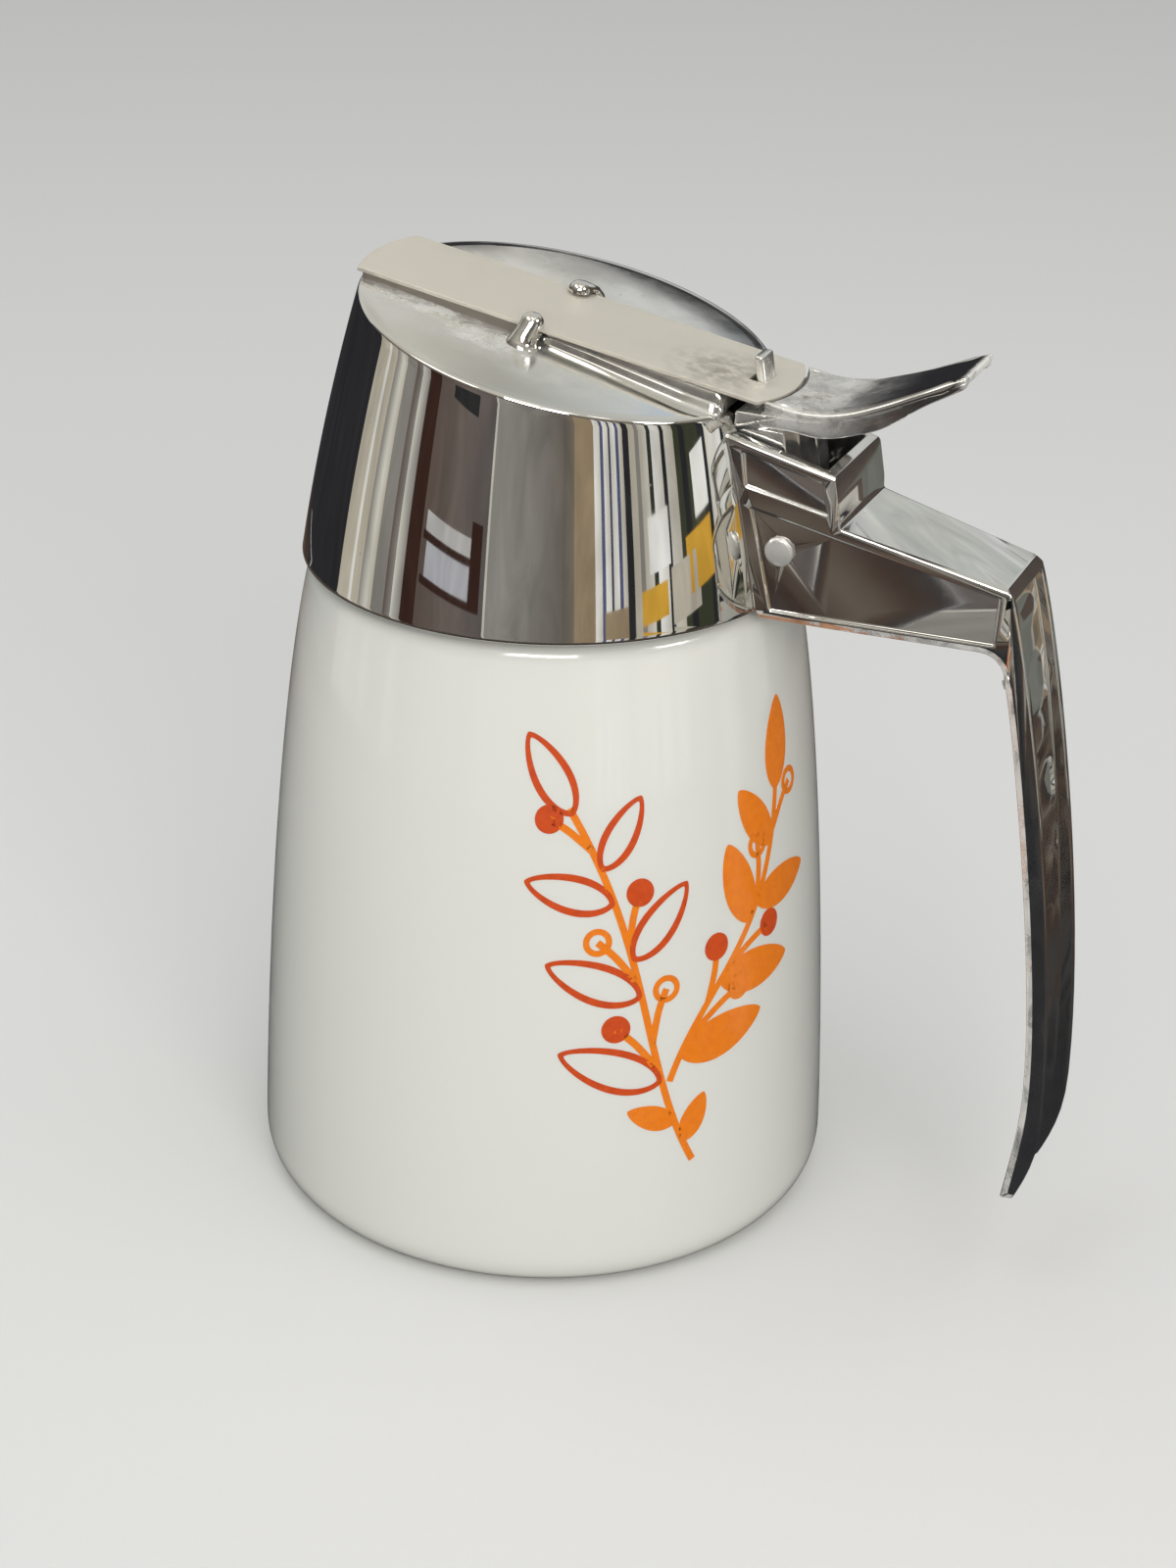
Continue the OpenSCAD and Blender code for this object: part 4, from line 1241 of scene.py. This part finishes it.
def make_handle():
    handle = combine(copied("handle_casting", "handle_arm"), copied("grip", "handle_grip"), "UNION")
    clean(handle, FLAT_ANGLE)
    cut_flats(handle, 0.62, arm_top)
    cut_flats(handle, 0.45, box_top)
    cut_flats(handle, 1.0, arm_and_grip_inside, shallow=0.55)
    ease(handle, 0.28)
    paint(handle, "haze", [
        ((50, 0, 107), (16, 9, 5), 0.6), ((44, 0, 110), (3, 9, 5), 0.5), ((36, 0, 111), (9, 6.2, 9), 4),
    ], 0.13)
    # The first spot makes the inside of the spring box dark brown all over
    paint(handle, "grime_and_shade", [
        ((36, 0, 109), (9, 6.1, 8), 4), ((44.3, 4, 108.6), (2.5, 5, 2.5), 0.62),
        ((44, -6, 108), (1.6, 2.5, 1.5), 0.5), ((74, -5, 70), (4, 4, 6), 0.4),
    ], 0.22)
    paint(handle, "wear", [
        ((38, -9.4, 93.0), (12, 3, 3), 0.75), ((64.6, -6.6, 88), (3, 3, 8), 0.62),
        ((66.6, -6.6, 78), (3, 3, 10), 0.5),
    ])
    edge = [on_inner_edge(face.center / MM, face.normal) for face in handle.data.polygons]
    mark(handle, "edge", edge, "FACE")
    finish_piece(drop_scraps(handle), "head", "chromed_casting", ["handle_arm", "handle_grip"])


# Blade, lever, pin and spring

SLOT_LOW, SLOT_MID, SLOT_HIGH, SLOT_HALF = 27.5, 30, 32.5, 2.6
SLOT_FRONT_MOVE, SLOT_BACK_MOVE, SLOT_NARROWING = 0.27, -0.75, 0.92


def make_blade():
    """The CAD's blade, as thin as the sheet looks, with its slot drawn in round the tab."""
    blade = copied("cutoff_blade_sheet", "cutoff_blade")
    for corner in blade.data.vertices:
        top = BLADE_Z - BLADE_FALL * corner.co.x / MM
        if top - corner.co.z / MM > BLADE_T / 2:
            corner.co.z += (BLADE_T - BLADE_SEEN) * MM
        if abs(corner.co.y) < SLOT_HALF * MM and SLOT_LOW < corner.co.x / MM < SLOT_HIGH:
            moved = SLOT_FRONT_MOVE if corner.co.x / MM < SLOT_MID else SLOT_BACK_MOVE
            corner.co.x += moved * MM
            corner.co.z -= moved * MM * BLADE_FALL
            corner.co.y *= SLOT_NARROWING
    ease(blade, 0.08, segments=2)
    finish_piece(blade, "blade", "blade_steel", ["cutoff_blade"])


# The pad from its back to its tip, as x and height: its top, its rim, the band below the rim and the skirt's
# lower edge. The last table is half its width.
PAD_TOP = np.array([
    (33.1, 121.9), (36.2, 121.92), (38.8, 121.85), (40.5, 121.9), (42.1, 122.1), (44, 122.75), (46, 123.45),
    (48, 124.2), (50, 125.0), (52, 125.9), (54, 126.8), (56, 127.75), (57.9, 128.55)
])
PAD_RIM = np.array([
    (32.2, 121.9), (34.6, 121.5), (36.6, 121.2), (38.6, 121.15), (40.5, 121.3), (43.7, 122.0),
    (48.1, 123.65), (52, 125.4), (56, 127.3), (57.9, 128.15)
])
PAD_BAND = np.array([
    (32.2, 120.4), (34.65, 120.3), (36.6, 120.25), (39.3, 120.4), (41.8, 120.9), (43.8, 121.35),
    (48.2, 123.0), (52, 124.85), (56, 126.85), (57.9, 127.7)
])
SKIRT_LOW = np.array([
    (32.2, 118.55), (36.7, 118.5), (39.4, 118.3), (42, 118.65), (44.3, 119.35), (47.9, 120.7), (50.2, 122.2),
    (52.5, 123.9), (56.3, 126.1), (57.9, 127.0)
])
PAD_HALF = np.array([(32, 8.1), (44.5, 8.1), (47.5, 7.75), (50, 7.3), (54, 6.75), (57.9, 5.75)])
TIP_X, TIP_ROUND, PAD_BACK = 57.9, 0.45, 32.65
BACK_ARC_X, BACK_ARC_R = 15.87, 18.64
# Two low sections behind the pad, each with the height of its lid
LEDGES = ((PAD_BACK - 0.95, 120.45), (PAD_BACK - 0.3, 120.85))
LEDGE_INSET = 0.36
# Radius of the bead along the pad's edge, by x
BEAD_X, BEAD_R = (33, 35, 53.5, 55.2, 56.0, 56.6), (0.3, 0.52, 0.52, 0.72, 0.62, 0.25)
PAD_T, PAD_DISH = 1.9, 0.14


def at(table, x):
    """Height of a smooth line through a table of points."""
    xs, zs = table[:, 0], table[:, 1]
    slopes = np.gradient(zs, xs)
    i = int(np.clip(np.searchsorted(xs, x) - 1, 0, len(xs) - 2))
    width = xs[i + 1] - xs[i]
    t = (x - xs[i]) / width
    if t < 0 or t > 1:
        return zs[0] if t < 0 else zs[-1]
    a, b = slopes[i] * width, slopes[i + 1] * width
    return (
        (2 * t ** 3 - 3 * t * t + 1) * zs[i] + (t ** 3 - 2 * t * t + t) * a
        + (3 * t * t - 2 * t ** 3) * zs[i + 1] + (t ** 3 - t * t) * b
    )


def pad_outline(x, squeeze=1.0):
    """The pad's outline at one x, from the middle of its top down the far side and back up the near one."""
    half, top, rim = at(PAD_HALF, x), at(PAD_TOP, x), at(PAD_RIM, x)
    band, low = at(PAD_BAND, x), at(SKIRT_LOW, x)
    under = max(top - PAD_T, low + 0.3)
    bead = float(np.interp(x, BEAD_X, BEAD_R))
    flat = half - 2 * bead - 0.1
    points = [(y, top - PAD_DISH * (1 - (y / flat) ** 2)) for y in np.linspace(0, flat, 9)]
    centre = (half - bead, min(top + 0.28, rim + 0.25) - 0.62 * bead)
    for a in np.radians(np.linspace(150, -55, 14)):
        points.append((centre[0] + bead * cos(a), centre[1] + bead * sin(a)))
    foot = centre[1] - 0.82 * bead
    skirt = (
        (0.36, min(foot - 0.05, (rim + band) / 2)), (0.22, band + 0.06), (0.2, band - 0.02),
        (0.24, band - 0.1), (0.3, (band + low) / 2), (0.42, low + 0.3), (0.5, low + 0.1), (0.65, low),
        (1.1, low), (1.3, low + 0.1), (1.4, low + 0.25), (1.5, max(low + 0.3, under - 0.5)),
        (1.7, under - 0.1), (2.2, under),
    )
    points += [(half - inset, z) for inset, z in skirt] + [(half * 0.5, under), (0, under)]
    middle = (top + low) / 2
    points = [(y * (0.94 + 0.06 * squeeze), middle + (z - middle) * squeeze) for y, z in points]
    return points + [(-y, z) for y, z in points[-2:0:-1]]


def pad_rings():
    """The pad's sections, bent round behind to follow the recess's arc."""
    stations = [(x, 1.0, None) for x in np.linspace(PAD_BACK, TIP_X - TIP_ROUND, 60)]
    stations += [
        (TIP_X - TIP_ROUND + TIP_ROUND * sin(a), 0.35 + 0.65 * cos(a), None)
        for a in np.radians((25, 45, 65, 80, 90))
    ]
    rings = []
    for station, squeeze, lid in [(x, 1.0, lid) for x, lid in LEDGES] + stations:
        placed = []
        for k, (y, height) in enumerate(pad_outline(station, squeeze)):
            if lid and height > lid:
                inner = PAD_HALF[0][1] - LEDGE_INSET
                y = max(-inner, min(inner, y))
            fade = min(1.0, max(0.0, 1 - (station - PAD_BACK) / 10))
            shift = (BACK_ARC_X + sqrt(max(0, BACK_ARC_R ** 2 - y * y)) - PAD_BACK) * fade
            x = station + max(0.0, shift)
            z = pad_outline(min(x, TIP_X), squeeze)[k][1]
            placed.append((x, y, min(z, lid) if lid else z))
        rings.append(placed)
    return rings


BLOCK_LEVELS, BLOCK_FRONT, BLOCK_REAR = (117.6, 119, 120.4), (28.45, 28.6, 28.6), (34.8, 35.2, 35.4)
BLOCK_RINGS_Z = (117.6, 118.0, 118.3, 118.6, 118.9, 119.2, 119.5, 119.8, 120.1, 120.4)
CREASE_X, CREASE_Z = (28.6, 29.7, 32, 34.4, 35.4), (118.4, 118.7, 119.6, 120.35, 120.4)
BLOCK_HALF, CHEEK_HALF, CHEEK_SLOPE = 8.1, 6.7, 1.1


def block_rings():
    """The lever's head in front of the pad, narrower below a crease that rises to the back."""
    rings = []
    for z in BLOCK_RINGS_Z:
        front, rear = (np.interp(z, BLOCK_LEVELS, ends) for ends in (BLOCK_FRONT, BLOCK_REAR))
        near = []
        for x in np.linspace(front, rear, 15):
            below = max(0, np.interp(x, CREASE_X, CREASE_Z) - z)
            near.append((x, max(CHEEK_HALF, BLOCK_HALF - CHEEK_SLOPE * below)))
        rings.append([(x, -y, z) for x, y in near] + [(x, y, z) for x, y in near[::-1]])
    return rings


TAB = [(29.75, 118.5), (28.5, 125.9), (29.8, 125.9), (31.1, 118.5)]
TAB_HALF, STEM_TOP_Z = 2, 117.9


def make_lever():
    lower = copied("lower", "thumb_lever")
    with edited(lower) as shape:
        cut = bmesh.ops.bisect_plane(
            shape, geom=shape.verts[:] + shape.edges[:] + shape.faces[:],
            plane_co=(0, 0, STEM_TOP_Z * MM), plane_no=(0, 0, 1), clear_outer=True,
        )
        bmesh.ops.holes_fill(shape, edges=[e for e in cut["geom_cut"] if isinstance(e, bmesh.types.BMEdge)])
    ease(clean(lower, FLAT_ANGLE), 0.25)
    block = ease(loft("block", block_rings()), 0.28, angle=28)
    tab = ease(prism("tab", TAB, -TAB_HALF, TAB_HALF, upright=True), 0.4)
    pad = smooth(loft("pad", pad_rings()), 42)
    lever = joined("thumb_lever_casting", [lower, block, tab, pad])
    paint(lever, "haze", [
        ((35.5, 0, 122), (14, 40, 7), 0.95), ((46, -6.5, 123.6), (8, 2.5, 1.5), 0.3),
        ((30, 0, 125), (2, 3, 3), 0.5), ((57.8, 0, 127.9), (1.0, 9, 2), 1.6), ((36, 0, 112), (8, 6, 5), 0.6),
        ((31, 0, 119.5), (4, 12, 2.2), 1.2),
    ], 0.08)
    paint(lever, "grime_and_shade", [((37, -2, 122), (5, 6, 1.5), 0.5), ((36, 0, 110), (6, 6, 6), 0.48)], 0.25)
    finish_piece(drop_scraps(lever), "lever", "chromed_lever", ["thumb_lever"])


PIN_HEAD_R, PIN_DOME, PIN_SHANK_R = 1.95, 0.62, 1.5


def make_pin():
    turns = np.radians(np.linspace(0, 90, 10))
    dome = [(PIN_HEAD_R * sin(a), PIN_HALF - PIN_DOME + PIN_DOME * cos(a)) for a in turns]
    half = dome + [
        (PIN_HEAD_R, PIN_HALF - 0.8), (PIN_HEAD_R - 0.12, PIN_HALF - 0.95), (PIN_SHANK_R, PIN_HALF - 0.95),
    ]
    profile = [(r, -y) for r, y in half] + [(r, y) for r, y in half[::-1]]
    pin = revolved("pivot_pin_domed", profile, 48, FINISHES["pin_steel"])
    pin.data.transform(Matrix.Rotation(radians(90), 4, "X"))
    pin.data.transform(Matrix.Translation((PIVOT.x * MM, 0, PIVOT.z * MM)))
    finish_piece(smooth(pin, 40), "head", "pin_steel", ["pivot_pin"])


COIL_R, COIL_START_Y, COIL_PITCH, COIL_TURNS, COIL_STEPS = 2.7, -6.6, 1.4, 2.5, 32
SPRING_LEG = [
    (41, -0.5, 112.2), (40.9, -1.1, 111.3), (40.55, -2.6, 109.2), (39.9, -4.4, 106.8), (38.9, -6.2, 104.4),
]
SPRING_HOOK = [
    (33.5, -3.1, 104.8), (34, -3.1, 106.6), (34.2, -2.75, 107.2), (34.2, -2.3, 107.3), (34.2, -1.4, 107.3),
]


def make_spring():
    """One wire: a leg in the box, a coil round the pin, and a hook on the lever."""
    coil = []
    for i in range(int(COIL_TURNS * COIL_STEPS) + 1):
        a = -2 * pi * i / COIL_STEPS
        y = COIL_START_Y + COIL_PITCH * i / COIL_STEPS
        coil.append((PIVOT.x + COIL_R * cos(a), y, PIVOT.z + COIL_R * sin(a)))
    path = SPRING_LEG + coil + SPRING_HOOK
    spring = wired("return_spring_wire", path, [1] * len(path), FINISHES["spring_steel"])
    smooth(spring, 60)
    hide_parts("return_spring")
    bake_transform(spring)


# The object

make_camera()
make_world()
make_floor()
soft_lamp("top_softbox", (0.05, -0.20, 0.9), (0, 0, 0.06), 1.3, 4.6)
soft_lamp("front_softbox", (0.62, -0.72, 0.50), (0, 0, 0.07), 0.5, 3.0)
make_boards()

FINISHES = {
    "opal_glass": opal_glass(),
    "rubber": gasket_rubber(),
    "chromed_casting": chrome("chromed_casting", 0.80, 0.5),
    "blade_steel": blade_steel(),
    "chromed_lever": chrome("chromed_lever", 0.76, 1.0),
    "pin_steel": plain_steel("pin_steel", 0.88, 0.30, 0.6),
    "spring_steel": plain_steel("spring_steel", 0.5, 0.35),
}
ENAMELS = {
    "orange_enamel": enamel("orange_enamel", (0.93, 0.235, 0.008), (0.86, 0.20, 0.008)),
    "red_enamel": enamel("red_enamel", (0.68, 0.080, 0.010), (0.58, 0.065, 0.01)),
}
for part in frame["record"]["subparts"]:
    node = frame["nodes"][part["node"]]
    node.data.materials.clear()
    node.data.materials.append(FINISHES[part["material_slot"]])

TREES = {"revolve": revolve_tree(), "wire": wire_tree()}
make_jar()
make_head()
make_track()
make_lugs()
make_handle()
make_blade()
make_lever()
make_pin()
make_spring()

scene = bpy.context.scene
scene.view_settings.view_transform = "Standard"
